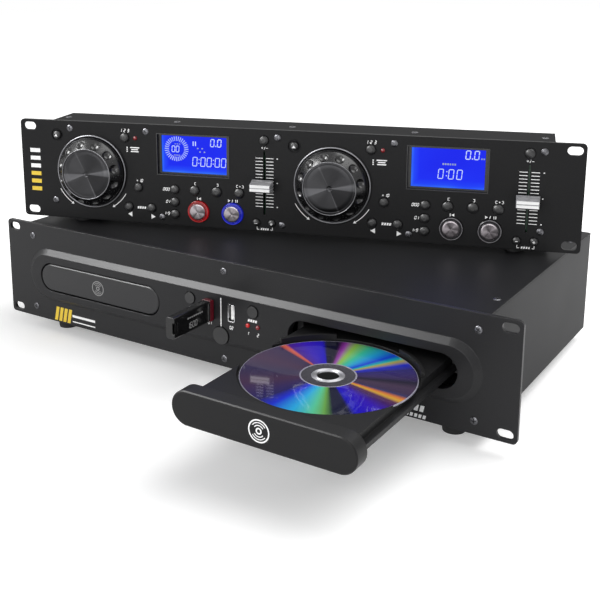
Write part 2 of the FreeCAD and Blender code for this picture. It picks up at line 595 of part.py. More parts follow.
def rear_sockets():
    sockets = [phono_pair(f"-phono_out {way} phono_apart / 2") for way in "-+"]
    sockets += [link_socket(f"{side}link_out", "link_up", "case_back") for side in ("-", "")]
    face = "case_back + 1"
    inlet = cut(join(slab("mains_out", f"{face} - mains_deep", "mains_up", "mains_wide",
                          "mains_deep", "mains_tall"),
                     slab("mains_out", "case_back", "mains_up", "mains_wide + 2 * mains_rim",
                          "1", "mains_tall + mains_rim")),
                slab("mains_out", f"{face} - mains_hollow", "mains_up", "mains_wide - 3",
                     "mains_hollow + 1", "mains_tall - 3"))
    blades = [slab(f"mains_out + {step} * blade_apart", f"{face} - mains_hollow - 1",
                   f"mains_up + {rise}", "blade_wide", "blade_long + 1", "blade_tall")
              for step, rise in ((-1, -2), (0, 2), (1, -2))]
    subpart("rear_sockets", "transport", *sockets, join(inlet, *blades))


# ---------------------------------------------------------------- controller: case and boards

def button_hole(x, z, radius):
    return drill(x, z, f"{radius} + cap_fit")


def controller_panel():
    """Steel panel of the controller with the rings round the two jog wheels."""
    rings, holes = [], rack_slots()
    for _, shift in DECKS:
        jog = f"jog_x + {shift}"
        rings.append(cut(rod(jog, "-ring_rise", "jog_z", "ring_rad", "ring_rise + 1"),
                         rod(jog, "-10", "jog_z", "ring_rad - ring_wall", "10")))
        holes += [button_hole(f"{x} + {shift}", z, radius) for _, x, z, radius in BUTTONS]
        holes += [button_hole(f"{x} + {shift}", z, "glow_rad") for _, x, z in GLOW_BUTTONS]
        holes += [drill(jog, "jog_z", "shaft_rad + shaft_fit")]
        holes += [block(f"window_left + {shift}", "-20", "window_low", "window_wide", "60",
                        "window_tall")]
        holes += [pill_up(f"fader_x + {shift}", "-20", "(fader_low + fader_high) / 2",
                          "fader_slot", "fader_high - fader_low", "60")]
    eject = BUTTONS[0]
    wells = [rod(f"{eject[1]} + {shift}", "-1", eject[2], "well_rad", "well_deep + 1")
             for _, shift in DECKS]
    holes += [screw_hole(x, "0", z) for x, z in EDGE_SCREWS + SIDE_SCREWS]
    plate = cut(cut(join(rack_plate(), *rings), *holes), *wells)
    subpart("controller_panel", "controller", plate)


def pill_up(x, y, z, wide, tall, deep):
    """A slot with half round ends, long in Z, which starts at y."""
    half = f"(({tall}) - ({wide})) / 2"
    return join(slab(x, y, z, wide, deep, f"({tall}) - ({wide})"),
                rod(x, y, f"{z} - {half}", f"({wide}) / 2", deep),
                rod(x, y, f"{z} + {half}", f"({wide}) / 2", deep))


def controller_case():
    """Shallow folded case behind the controller's panel, with a tab for each screw."""
    deep = "box_back - plate_thick"
    shell = cut(block("-box_half", "plate_thick", "box_low", "2 * box_half", deep,
                      "box_top - box_low"),
                block("-box_half + sheet_thick", "plate_thick - 1", "box_low + sheet_thick",
                      "2 * (box_half - sheet_thick)", f"{deep} - sheet_thick + 1",
                      "box_top - box_low - 2 * sheet_thick"))
    tabs = []
    for x, z in EDGE_SCREWS:
        low = "box_top - tab_tall" if z > 40 else "box_low"
        tabs.append(block(f"{x} - tab_wide / 2", "plate_thick", low, "tab_wide", "sheet_thick",
                          "tab_tall"))
    for x, z in SIDE_SCREWS:
        left = "-box_half" if x.startswith("-") else "box_half - side_tab_wide"
        tabs.append(block(left, "plate_thick", f"min({z} - side_tab_tall / 2; "
                          "box_top - side_tab_tall)", "side_tab_wide", "sheet_thick",
                          "side_tab_tall"))
    holes = [rod(x, "0", z, "screw_rad + screw_fit", "10")
             for x, z in EDGE_SCREWS + SIDE_SCREWS]
    holes += [screw_hole(f"{step} * top_screw_apart", "top_screw_back", "box_top", "down")
              for step in range(-2, 3)]
    holes += [rod(f"{side}plug_out", "box_back - 5", "plug_up", "link_rad + socket_fit", "10")
              for side in ("-", "")]
    subpart("controller_case", "controller", cut(join(shell, *tabs), *holes))


def controller_feet():
    feet = [rod(f"{side}pad_out", depth, "box_low", "pad_rad", "pad_tall", "down")
            for side in ("-", "") for depth in ("pad_front", "pad_back")]
    subpart("controller_feet", "controller", *feet)


def controller_screws():
    screws = [screw(x, "0", z) for x, z in EDGE_SCREWS + SIDE_SCREWS]
    screws += [screw(f"{step} * top_screw_apart", "top_screw_back", "box_top", "down")
               for step in range(-2, 3)]
    subpart("controller_screws", "controller", *screws)


def displays():
    """Two display modules: a frame on the back of the panel round a sunk glass."""
    modules = []
    for _, shift in DECKS:
        x = f"window_left + window_wide / 2 + {shift}"
        z = "window_low + window_tall / 2"
        frame = slab(x, "plate_thick", z, "window_wide + 2 * module_rim",
                     "control_front - plate_thick", "window_tall + 2 * module_rim")
        hollow = slab(x, "plate_thick - 1", z, "window_wide - 2 * glass_rim",
                      "1 + module_step", "window_tall - glass_rim")
        modules.append(cut(frame, hollow))
    subpart("displays", "controller", *modules)


def controller_board():
    """Circuit board with a switch behind each button, the encoders, faders and sockets."""
    plate = slab("0", "control_front", "control_low + control_tall / 2", "2 * control_half",
                 "board_thick", "control_tall")
    parts, sliders = [], []
    for _, shift in DECKS:
        reach = "plate_thick + touch_gap + cap_lip_thick + cap_reach + cap_press + touch_gap"
        for _, x, z, _ in BUTTONS:
            parts.append(slab(f"{x} + {shift}", reach, z, "switch_wide",
                              f"control_front - ({reach})", "switch_wide"))
        for _, x, z in GLOW_BUTTONS:
            parts.append(slab(f"{x} + {shift}", reach, z, "switch_wide",
                              f"control_front - ({reach})", "switch_wide"))
        jog = f"jog_x + {shift}"
        encoder = rod(jog, "control_front - encoder_deep", "jog_z", "encoder_rad",
                      "encoder_deep")
        bore = rod(jog, "0", "jog_z", "shaft_rad + shaft_fit", "control_front - touch_gap")
        sliders.append(cut(encoder, bore))
        sliders.append(slab(f"fader_x + {shift}", "slider_from",
                            "(fader_low + fader_high) / 2", "slider_wide",
                            "control_front - slider_from", "fader_high - fader_low"))
    sockets = [link_socket(f"{side}plug_out", "plug_up", "box_back") for side in ("-", "")]
    subpart("controller_board", "controller", join(plate, *parts), *sliders, *sockets)


# ---------------------------------------------------------------- controller: moving pieces

def cap_button(label, x, z, radius):
    """A domed rubber button with its lip behind the panel and its stem."""
    lip_front = "plate_thick + touch_gap"
    shoulder, crown = "cap_shoulder - cap_proud", "cap_crown - cap_proud"
    cap = [rod(x, shoulder, z, radius, f"{lip_front} - ({shoulder})"),
           cone(x, shoulder, z, radius, f"({radius}) * 0.76", "cap_shoulder - cap_crown", "front"),
           cone(x, crown, z, f"({radius}) * 0.76", f"({radius}) * 0.42", "cap_crown", "front")]
    lip = rod(x, lip_front, z, f"{radius} + cap_lip", "cap_lip_thick")
    stem = rod(x, lip_front, z, "cap_stem", "cap_lip_thick + cap_reach")
    subpart(label, "controller", join(*cap, lip, stem))


def glow_button(label, x, z):
    """A clear button that lights up round a metal cap."""
    lip_front = "plate_thick + touch_gap"
    lens = join(cone(x, "-glow_proud + metal_bevel", z, "glow_rad", "glow_rad - metal_bevel",
                     "metal_bevel", "front"),
                rod(x, "-glow_proud + metal_bevel", z, "glow_rad",
                    f"glow_proud - metal_bevel + {lip_front}"),
                rod(x, lip_front, z, "glow_rad + cap_lip", "cap_lip_thick"),
                rod(x, lip_front, z, "cap_stem", "cap_lip_thick + cap_reach"))
    pocket = rod(x, "-glow_proud - 1", z, "metal_rad + metal_gap", "1 + metal_sink")
    floor = "metal_sink - glow_proud"
    face = "-glow_proud - metal_proud"
    cap = join(rod(x, f"{face} + metal_bevel", z, "metal_rad", f"{floor} - ({face}) - metal_bevel"),
               cone(x, f"{face} + metal_bevel", z, "metal_rad", "metal_rad - metal_bevel",
                    "metal_bevel", "front"))
    subpart(label, "controller", cut(lens, pocket), cap)


def outline(body, points):
    """A closed sketch through points, each a pair of expressions, on the body's XZ plane."""
    sketch = body.newObject("Sketcher::SketchObject", "outline")
    plane = [item for item in body.Origin.OriginFeatures if item.Role == "XZ_Plane"][0]
    sketch.AttachmentSupport = (plane, [""])
    sketch.MapMode = "FlatFace"
    corners = [FreeCAD.Vector(10 + 3 * n, 5 + n * n, 0) for n in range(len(points))]
    for n, start in enumerate(corners):
        end = corners[(n + 1) % len(points)]
        sketch.addGeometry(Part.LineSegment(start, end), False)
    for n in range(len(points)):
        sketch.addConstraint(Sketcher.Constraint("Coincident", n, 2, (n + 1) % len(points), 1))
    for n, pair in enumerate(points):
        for kind, text in zip(("DistanceX", "DistanceY"), pair):
            mark = sketch.addConstraint(Sketcher.Constraint(kind, -1, 1, n, 1, 1.0))
            sketch.setExpression(f"Constraints[{mark}]", cells(text))
    return sketch


def jog_wheel(side, shift):
    """Turned wheel with a ring of finger dimples, and the spun metal face let into it."""
    wheel = doc.addObject("PartDesign::Body", side + "_wheel")
    half = outline(wheel, (
        ("0", "-shaft_long"), ("shaft_rad", "-shaft_long"), ("shaft_rad", "jog_lift"),
        ("jog_rad", "jog_lift"), ("jog_rad", "jog_skirt"),
        ("jog_shoulder", "jog_shoulder_rise"), ("face_rad + jog_lip", "jog_rise"),
        ("face_rad", "jog_rise"), ("face_rad", "jog_rise - face_sink - face_thick"),
        ("0", "jog_rise - face_sink - face_thick")))
    turned = wheel.newObject("PartDesign::Revolution", "turned")
    turned.Profile = half
    turned.ReferenceAxis = (half, ["V_Axis"])
    turned.Angle = 360
    dimple = wheel.newObject("PartDesign::SubtractiveSphere", "dimple")
    bind(dimple, Radius="dimple_rad")
    move(dimple, "dimple_ring", "0", "dimple_out")
    ring = wheel.newObject("PartDesign::PolarPattern", "dimples")
    ring.Originals = [dimple]
    ring.Axis = (half, ["V_Axis"])
    ring.Angle = 360
    bind(ring, Occurrences="dimple_count")
    wheel.Tip = ring
    wheel.Placement.Rotation = WAYS["front"]
    move(wheel, f"jog_x + {shift}", "0", "jog_z")
    face = rod(f"jog_x + {shift}", "face_sink - jog_rise", "jog_z", "face_rad - touch_gap",
               "face_thick")
    subpart(side + "_jog_wheel", "controller", wheel, face)


def pitch_fader(side, shift):
    """Grip of the pitch slider, on a flat stem that comes through the slot."""
    x = f"fader_x + {shift}"
    grip = doc.addObject("Part::Wedge", "grip")
    bind(grip, Ymin="0", Ymax="grip_deep",
         Xmin="grip_taper", Xmax="grip_wide - grip_taper", X2min="0", X2max="grip_wide",
         Zmin="(grip_back - grip_front) / 2", Zmax="(grip_back + grip_front) / 2",
         Z2min="0", Z2max="grip_back")
    move(grip, f"{x} - grip_wide / 2", "-grip_from - grip_deep", "fader_rest - grip_back / 2")
    line = slab(x, "-grip_from - grip_deep - 1", "fader_rest", "grip_wide + 2",
                "1 + grip_line", "grip_line")
    stem = slab(x, "-grip_from - 1", "fader_rest", "stem_thick",
                "grip_from + 1 + stem_reach", "stem_tall")
    subpart(side + "_pitch_fader", "controller", join(cut(grip, line), stem))


# ---------------------------------------------------------------- the whole player

transport_panel()
chassis()
top_cover()
transport_screws()
transport_feet()
loader_frames()
main_board()
rear_sockets()
usb_ports()
for side, x, out in TRAYS:
    tray(side, x, out if side == "right" else "0")
    turntable(side, x)
disc()
usb_stick()
flat_key("left_eject_key", "-eject_out", "eject_up", "eject_rad")
flat_key("right_eject_key", "eject_out", "eject_up", "eject_rad")
flat_key("power_key", "0", "power_up", "power_rad")

controller_panel()
controller_case()
controller_feet()
controller_screws()
displays()
controller_board()
for side, shift in DECKS:
    for name, x, z, radius in BUTTONS:
        cap_button(f"{side}_deck_{name}", f"{x} + {shift}", z, radius)
    for name, x, z in GLOW_BUTTONS:
        glow_button(f"{side}_deck_{name}", f"{x} + {shift}", z)
    jog_wheel(side + "_deck", shift)
    pitch_fader(side + "_deck", shift)

doc.recompute()
failed = [item.Label for item in doc.Objects if {"Invalid", "Error"} & set(item.State)]
failed += [item.Label for item in SUBPARTS if item.Shape.isNull() or not item.Shape.isValid()]
if failed:
    raise RuntimeError("these did not build: " + ", ".join(failed))

os.makedirs("parts", exist_ok=True)
for item in SUBPARTS:
    item.Shape.exportStep("parts/" + item.Label + ".step")
    print(f"{item.Label}: {len(item.Shape.Solids)} solids, {item.Shape.Volume:.0f} mm3")
print(len(SUBPARTS), "sub-parts")
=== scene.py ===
# %% [markdown]
# # A dual disc player for a disc jockey
# The player is two steel boxes: a transport with two disc trays, and a controller with
# jog wheels, displays and pitch faders, which stands on top and is turned a little. Its
# solid pieces come from a frame that is loaded first. This lesson adds what makes them
# look real: finishes, printed marks, lit displays, spun metal faces and a shiny disc.

# %% Load the frame
import json
import math
import bmesh
import bpy
from mathutils import Matrix, Vector


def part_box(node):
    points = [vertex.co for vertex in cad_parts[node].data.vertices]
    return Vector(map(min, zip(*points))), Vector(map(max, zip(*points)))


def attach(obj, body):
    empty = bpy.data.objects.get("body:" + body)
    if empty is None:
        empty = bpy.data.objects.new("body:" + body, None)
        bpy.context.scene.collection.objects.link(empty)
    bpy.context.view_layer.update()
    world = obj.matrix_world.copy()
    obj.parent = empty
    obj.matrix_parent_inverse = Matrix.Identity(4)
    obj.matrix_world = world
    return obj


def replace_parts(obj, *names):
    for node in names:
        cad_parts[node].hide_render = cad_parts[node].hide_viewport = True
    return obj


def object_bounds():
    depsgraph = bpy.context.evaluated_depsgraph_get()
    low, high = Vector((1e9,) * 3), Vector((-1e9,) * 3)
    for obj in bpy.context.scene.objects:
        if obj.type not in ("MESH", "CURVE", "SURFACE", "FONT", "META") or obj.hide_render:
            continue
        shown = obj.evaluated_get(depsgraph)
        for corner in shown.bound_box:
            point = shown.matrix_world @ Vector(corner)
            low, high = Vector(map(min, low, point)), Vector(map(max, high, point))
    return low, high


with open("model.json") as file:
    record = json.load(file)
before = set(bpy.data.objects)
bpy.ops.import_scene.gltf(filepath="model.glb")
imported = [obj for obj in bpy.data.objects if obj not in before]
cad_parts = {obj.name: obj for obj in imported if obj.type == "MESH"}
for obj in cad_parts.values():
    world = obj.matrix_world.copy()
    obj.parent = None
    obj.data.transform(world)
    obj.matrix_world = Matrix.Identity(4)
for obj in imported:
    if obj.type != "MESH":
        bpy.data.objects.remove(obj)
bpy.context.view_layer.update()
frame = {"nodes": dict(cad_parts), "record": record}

# %% [markdown]
# ## Places to draw in
# Both units are drawn as their makers draw them, in millimetres: x to the right, y back
# and z up, from the middle of the panel's lower edge. One matrix takes such a point to
# the frame, which is in metres. The transport only needs a shift. The controller is also
# turned, and the record's mount on its panel says where it stands and which way it looks.
# Its two decks are alike, so the left one is drawn and the right one stands beside it.

# %% The units and the decks
MM = 0.001
mounts = {mount["name"]: mount for mount in frame["record"]["mounts"]}
RACK_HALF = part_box("transport_panel")[1].z
TRANSPORT = Matrix.Translation((0, 0, -RACK_HALF)) @ Matrix.Scale(MM, 4)
front = Vector(mounts["controller_rack_slots"]["axis"])
stands = Vector(mounts["controller_rack_slots"]["pos_m"]) - Vector((0, 0, RACK_HALF))
TURN = math.atan2(front.x, -front.y)
CONTROLLER = (Matrix.Translation(stands) @ Matrix.Rotation(TURN, 4, "Z")
              @ Matrix.Scale(MM, 4))
DECK_PITCH = 215.5
DECKS = {"left": CONTROLLER, "right": CONTROLLER @ Matrix.Translation((DECK_PITCH, 0, 0))}
print("the controller is turned by", round(math.degrees(TURN), 1), "degrees")

# %% [markdown]
# ## The camera
# The eye stands a little to the right and above, as over a shelf. A longer lens keeps the
# box from looking stretched, and a small shift of the film puts the player in the middle
# of the picture while its upright edges stay close to upright.

# %% Camera
EYE = (0.43223, -0.59777, 0.27604)
LOOK_LEFT, LOOK_DOWN = 33.036, 13.098


def put(name, data):
    """A new object in the scene."""
    item = bpy.data.objects.new(name, data)
    bpy.context.collection.objects.link(item)
    return item


camera_data = bpy.data.cameras.new("camera")
camera_data.lens, camera_data.sensor_width = 59.134, 36
camera_data.shift_x, camera_data.shift_y = 0.05, -0.19
camera = put("camera", camera_data)
camera.location = EYE
camera.rotation_euler = (math.radians(90 - LOOK_DOWN), 0, math.radians(LOOK_LEFT))
bpy.context.scene.camera = camera
bpy.context.scene.view_settings.view_transform = "Standard"
print("camera lens", round(camera_data.lens, 1))

# %% [markdown]
# ## Colours and nodes
# A hex colour is written for a screen, so one function turns it into the linear light
# that a renderer adds up. Another function adds any node, sets it and wires its inputs,
# each to a number, a colour, or a node whose first output feeds it.

# %% Colour and node helpers
def linear(colour, share=1.0):
    """A share of a hex colour as linear red, green, blue and full alpha."""
    parts = [int(colour[n:n + 2], 16) / 255 for n in (1, 3, 5)]
    return [share * (c / 12.92 if c <= 0.04045 else ((c + 0.055) / 1.055) ** 2.4)
            for c in parts] + [1]


def add(tree, kind, links=None, stops=(), **settings):
    """Adds a node; links gives each input its value, or what feeds it."""
    node = tree.nodes.new("ShaderNode" + kind)
    for name, value in settings.items():
        setattr(node, name, value)
    for socket, value in (links or {}).items():
        if isinstance(value, bpy.types.Node):
            value = value.outputs[0]
        if isinstance(value, bpy.types.NodeSocket):
            tree.links.new(value, node.inputs[socket])
        else:
            node.inputs[socket].default_value = (
                linear(value) if isinstance(value, str) else value)
    for n, (position, colour) in enumerate(stops):
        spot = (node.color_ramp.elements[n] if n < 2
                else node.color_ramp.elements.new(position))
        spot.position = position
        spot.color = linear(colour)
    return node


print("black in linear light:", [round(c, 4) for c in linear("#202022")])

# %% [markdown]
# ## What all finishes share
# Every finish starts from a place on the object. No real surface has quite one colour, so
# most then mix two tones by soft spots of a real size. At the end comes the shader. An
# edge is never sharp either, so a bevel in the shading rounds it, and the same spots can
# lift and lower the surface a little as a grain.

# %% The start and the end of a finish
MIX_A, MIX_B, MIX_OUT = 6, 7, 2      # the colour sockets of a Mix node


def start_finish(name, place="Object"):
    """An empty material, its node tree and the place on the object, in metres."""
    material = bpy.data.materials.new(name)
    material.use_nodes = True
    tree = material.node_tree
    tree.nodes.clear()
    return material, tree, add(tree, "TexCoord").outputs[place]


def mottle(tree, place, size, first, second, detail=2.0):
    """Spots of a size in millimetres, and two colours mixed by them."""
    spots = add(tree, "TexNoise", {"Vector": place, "Scale": 1 / (size * MM),
                                   "Detail": detail})
    tone = add(tree, "Mix", {0: spots, MIX_A: first, MIX_B: second}, data_type="RGBA")
    return spots, tone.outputs[MIX_OUT]


def end_finish(material, inputs, edge=0, relief=None, strength=0.3, depth=0):
    """The shader, with edges rounded and spots raised by some millimetres."""
    tree = material.node_tree
    if edge:
        normal = add(tree, "Bevel", {"Radius": edge * MM}, samples=4)
        if relief:
            normal = add(tree, "Bump", {"Height": relief, "Strength": strength,
                                        "Distance": depth * MM, "Normal": normal})
        inputs["Normal"] = normal
    shader = add(tree, "BsdfPrincipled", inputs)
    add(tree, "OutputMaterial", {"Surface": shader})
    return material


print("helpers:", start_finish.__name__, mottle.__name__, end_finish.__name__)

# %% [markdown]
# ## Powder-coated steel
# Both panels and both cases are folded steel with a black powder coat. The powder melts
# into a skin that isn't quite flat: small soft hills, about 0.8 mm apart, which blur
# what it mirrors. A coat can't be sharp at an edge, so a bevel in the shading rounds each
# fold by about a millimetre. There are four coats: a satin one on the transport's panel,
# a duller one on the controller's panel, and a coarse and a matte one on the two cases.

# %% Powder coat
def powder_coat(name, dark, light, roughness, hill, edge, specular):
    """Paint with soft hills of a given spacing and rounded edges, both in millimetres."""
    coat, tree, place = start_finish(name)
    hills, speckle = mottle(tree, place, hill, dark, light, 3.0)
    clouds = add(tree, "TexNoise", {"Vector": place, "Scale": 1 / (60 * MM), "Detail": 1.0})
    haze = add(tree, "MapRange", {"Value": clouds, "To Min": roughness - 0.03,
                                  "To Max": roughness + 0.03})
    return end_finish(coat, {"Base Color": speckle, "Roughness": haze,
                             "Specular IOR Level": specular}, edge, hills, 0.35, 0.02)


panel_coat = powder_coat("satin_powder_coat", "#1b1b1c", "#29292b", 0.36, 0.8, 0.8, 0.2)
deck_coat = powder_coat("dull_powder_coat", "#161617", "#212122", 0.42, 0.8, 0.8, 0.1)
case_coat = powder_coat("textured_powder_coat", "#19191a", "#272729", 0.45, 1.2, 1.2, 0.07)
lid_coat = powder_coat("matte_powder_coat", "#111112", "#1b1b1c", 0.6, 1.2, 0.8, 0.04)
print("coats:", panel_coat.name, deck_coat.name, case_coat.name, lid_coat.name)

# %% [markdown]
# ## Moulded plastic and rubber
# Trays, bezels, keys and frames are black ABS, moulded in a tool with a satin grain of
# about 0.4 mm. Feet and small keys are silicone rubber, softer and duller, sockets are
# nylon and turntables acetal. One recipe does them all: a base colour that varies a
# little, a roughness, and a fine grain.

# %% Moulded materials
def moulded(name, colour, roughness, grain, depth, edge=0.25, specular=0.5):
    """Plastic or rubber with a moulded grain; grain, depth and edge in millimetres."""
    plastic, tree, place = start_finish(name)
    grains, tone = mottle(tree, place, grain, colour, linear(colour, 1.35))
    return end_finish(plastic, {"Base Color": tone, "Roughness": roughness,
                                "Specular IOR Level": specular}, edge, grains, 0.3, depth)


tray_abs = moulded("satin_abs", "#1d1d1f", 0.36, 0.4, 0.01, 0.6, 0.38)
open_abs = moulded("dull_satin_abs", "#111112", 0.42, 0.4, 0.01, 0.6, 0.2)
frame_abs = moulded("black_abs", "#1b1b1c", 0.55, 0.5, 0.02)
key_abs = moulded("matte_abs_key", "#1a1a1b", 0.42, 0.4, 0.01)
wheel_abs = moulded("semi_gloss_abs", "#0e0e0f", 0.24, 0.5, 0.003, 0.3)
stick_abs = moulded("polished_abs", "#0c0c0d", 0.12, 0.5, 0.002, 0.4)
foot_rubber = moulded("foot_rubber", "#141415", 0.75, 0.6, 0.03)
key_rubber = moulded("silicone_rubber", "#1c1c1d", 0.4, 0.35, 0.01, 1.0)
nylon = moulded("black_nylon", "#151516", 0.4, 0.5, 0.01)
white_nylon = moulded("white_nylon", "#dcdcda", 0.4, 0.5, 0.01)
red_nylon = moulded("red_nylon", "#a01818", 0.4, 0.5, 0.01)
acetal = moulded("grey_acetal", "#39393c", 0.45, 0.5, 0.01)
print("moulded finishes, from", tray_abs.name, "to", acetal.name)

# %% [markdown]
# ## Metals
# The USB shells are nickel on steel, the small screws are black zinc, and the rings round
# the wheels are satin grey. A metal's colour is the light that it gives back, so nickel is
# pale and zinc is dark, and the spread of its shine comes from roughness.

# %% Metals
def metal(name, colour, roughness, scratch, edge=0.15):
    """Bare or plated metal with fine scratches of a given spacing in millimetres."""
    plate, tree, place = start_finish(name)
    scratches = add(tree, "TexNoise", {"Vector": place, "Scale": 1 / (scratch * MM),
                                       "Detail": 4.0})
    wear = add(tree, "MapRange", {"Value": scratches,
                                  "To Min": roughness * 0.7, "To Max": roughness * 1.3})
    return end_finish(plate, {"Base Color": colour, "Metallic": 1.0,
                              "Roughness": wear}, edge)


nickel = metal("nickel_plated_steel", "#d6d6d8", 0.2, 0.8)
zinc = metal("black_zinc_steel", "#5c5c5f", 0.28, 0.5, 0.1)
trim_metal = metal("satin_grey_trim", "#737376", 0.34, 0.8)
print("metals:", nickel.name, zinc.name, trim_metal.name)

# %% [markdown]
# ## Circuit boards
# A board is glass fibre under a green solder mask, with paler copper tracks beneath.
# The tracks are a brick pattern 2.5 mm wide, just strong enough to see.

# %% Solder mask
board_mask, tree, place = start_finish("green_solder_mask")
tracks = add(tree, "TexBrick", {"Vector": place, "Color1": "#0f3d24",
                                "Color2": "#14502e", "Mortar": "#1d6b40",
                                "Scale": 1.0, "Mortar Size": 0.4 * MM,
                                "Brick Width": 9 * MM, "Row Height": 2.5 * MM})
end_finish(board_mask, {"Base Color": tracks, "Roughness": 0.35})
print("made", board_mask.name)

# %% [markdown]
# ## Dress the solids
# Each solid names a material slot in the record, and each slot gets one finish here.
# Three solids then get a duller one of their own: the controller's panel and case, and
# the open tray. The lit keys are dressed later, once their clear plastic is made.

# %% Finishes by slot
FINISHES = {
    "panel_coat": panel_coat, "case_coat": case_coat, "screw_steel": zinc,
    "foot_rubber": foot_rubber, "frame_plastic": frame_abs, "circuit_board": board_mask,
    "socket_plastic": nylon, "socket_steel": nickel, "tray_plastic": tray_abs,
    "platter_plastic": acetal, "stick_plastic": stick_abs, "key_plastic": key_abs,
    "key_rubber": key_rubber, "wheel_plastic": wheel_abs,
}


def dress(node, material):
    """Gives a solid of the frame its finish."""
    mesh = frame["nodes"][node].data
    mesh.materials.clear()
    mesh.materials.append(material)


slot_of = {part["node"]: part["material_slot"] for part in frame["record"]["subparts"]}
for node, slot in slot_of.items():
    if slot in FINISHES:
        dress(node, FINISHES[slot])
for node, material in (("controller_panel", deck_coat), ("controller_case", lid_coat),
                       ("right_tray", open_abs)):
    dress(node, material)
print("dressed", sum(slot in FINISHES for slot in slot_of.values()), "solids")

# %% [markdown]
# ## Making pieces
# New pieces are meshes. A turned piece is a profile of radius and height spun round an
# axis, as on a lathe. A printed mark is a flat shape, a twentieth of a millimetre thick.
# Both are drawn in their unit's millimetres and then taken to the frame.

# %% Mesh helpers
def place_mesh(name, mesh, unit, body, material):
    """Turns a mesh in a unit's millimetres into a piece of the player."""
    mesh.transform(unit)
    mesh.materials.clear()
    mesh.materials.append(material)
    piece = put(name, mesh)
    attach(piece, body)
    return piece


def to_mesh(shape, mesh=None):
    """Writes a shape that is being built into a mesh."""
    mesh = mesh or bpy.data.meshes.new("piece")
    shape.to_mesh(mesh)
    shape.free()
    return mesh


def smooth(mesh, limit=35):
    """Rounds the shading where faces meet at less than the limit, in degrees."""
    shape = bmesh.new()
    shape.from_mesh(mesh)
    for face in shape.faces:
        face.smooth = True
    for edge in shape.edges:
        if len(edge.link_faces) == 2:
            edge.smooth = edge.calc_face_angle() < math.radians(limit)
    return to_mesh(shape, mesh)


def turned(profile, centre, sides=48, limit=0):
    """A profile of (radius, height) spun round the front-facing axis at a centre.

    One that starts off the axis is closed to a ring. A limit smooths the piece."""
    if profile[0][0] > 0:
        profile = profile + profile[:1]
    shape = bmesh.new()
    rings = []
    for radius, height in profile:
        turns = [2 * math.pi * n / sides for n in range(sides if radius else 1)]
        rings.append([shape.verts.new((centre[0] + radius * math.cos(a), centre[1] - height,
                                       centre[2] + radius * math.sin(a))) for a in turns])
    for low, high in zip(rings, rings[1:]):
        for n in range(sides):
            after = (n + 1) % sides
            corners = [low[n % len(low)], low[after % len(low)],
                       high[after % len(high)], high[n % len(high)]]
            shape.faces.new(list(dict.fromkeys(corners)))
    bmesh.ops.recalc_face_normals(shape, faces=shape.faces)
    mesh = to_mesh(shape)
    return smooth(mesh, limit) if limit else mesh


def plates(outlines, y=0, thick=0.05):
    """Flat shapes, each a list of (x, z), standing proud of the plane at y."""
    shape = bmesh.new()
    for points in outlines:
        back = [shape.verts.new((x, y, z)) for x, z in points]
        face = [shape.verts.new((x, y - thick, z)) for x, z in points]
        shape.faces.new(face)
        shape.faces.new(back[::-1])
        for n in range(len(points)):
            after = (n + 1) % len(points)
            shape.faces.new((face[n], back[n], back[after], face[after]))
    bmesh.ops.recalc_face_normals(shape, faces=shape.faces)
    return to_mesh(shape)


print("lathe and print shop are ready")

# %% [markdown]
# ## Shapes to print
# The marks are plain: bars, triangles, arrows, numbers and signs. Digits are drawn as a
# seven-segment figure, which serves the displays too: seven slanted bars with pointed
# ends, of which each digit lights some.

# %% Flat shapes
def bar(x, z, wide, tall, slant=0.0):
    """A box centred on x and z that leans right by slant for each unit up."""
    lean = slant * tall / 2
    return [(x - wide / 2 - lean, z - tall / 2), (x + wide / 2 - lean, z - tall / 2),
            (x + wide / 2 + lean, z + tall / 2), (x - wide / 2 + lean, z + tall / 2)]


def bars(count, pitch, x, z, wide, tall, slant=0.0):
    """A row of bars, the first one centred on x and z."""
    return [bar(x + pitch * n, z, wide, tall, slant) for n in range(count)]


def plus(x, z, size, thick):
    return [bar(x, z, size, thick), bar(x, z, thick, size)]


def on_circle(x, z, radius, degrees):
    """The point of a circle round x and z at an angle, 90 being up."""
    turn = math.radians(degrees)
    return x + radius * math.cos(turn), z + radius * math.sin(turn)


def triangle(x, z, size, towards):
    """A triangle that points towards an angle in degrees."""
    return [on_circle(x, z, size, towards + 120 * n) for n in range(3)]


def dot(x, z, radius):
    return [on_circle(x, z, radius, 30 * n) for n in range(12)]


def arc(x, z, radius, wide, start, end, steps=14):
    """A bent bar round a centre, from one angle to another in degrees."""
    turns = [start + (end - start) * n / steps for n in range(steps + 1)]
    outer = [on_circle(x, z, radius + wide / 2, turn) for turn in turns]
    inner = [on_circle(x, z, radius - wide / 2, turn) for turn in turns]
    return outer + inner[::-1]


SEGMENTS = {"0": "abcdef", "1": "bc", "2": "abged", "3": "abgcd", "6": "afgecd",
            "9": "abcfgd", "-": "g"}
LINES = {"a": (0, 1, 1, 1), "b": (1, 0.5, 1, 1), "c": (1, 0, 1, 0.5), "d": (0, 0, 1, 0),
         "e": (0, 0, 0, 0.5), "f": (0, 0.5, 0, 1), "g": (0, 0.5, 1, 0.5)}


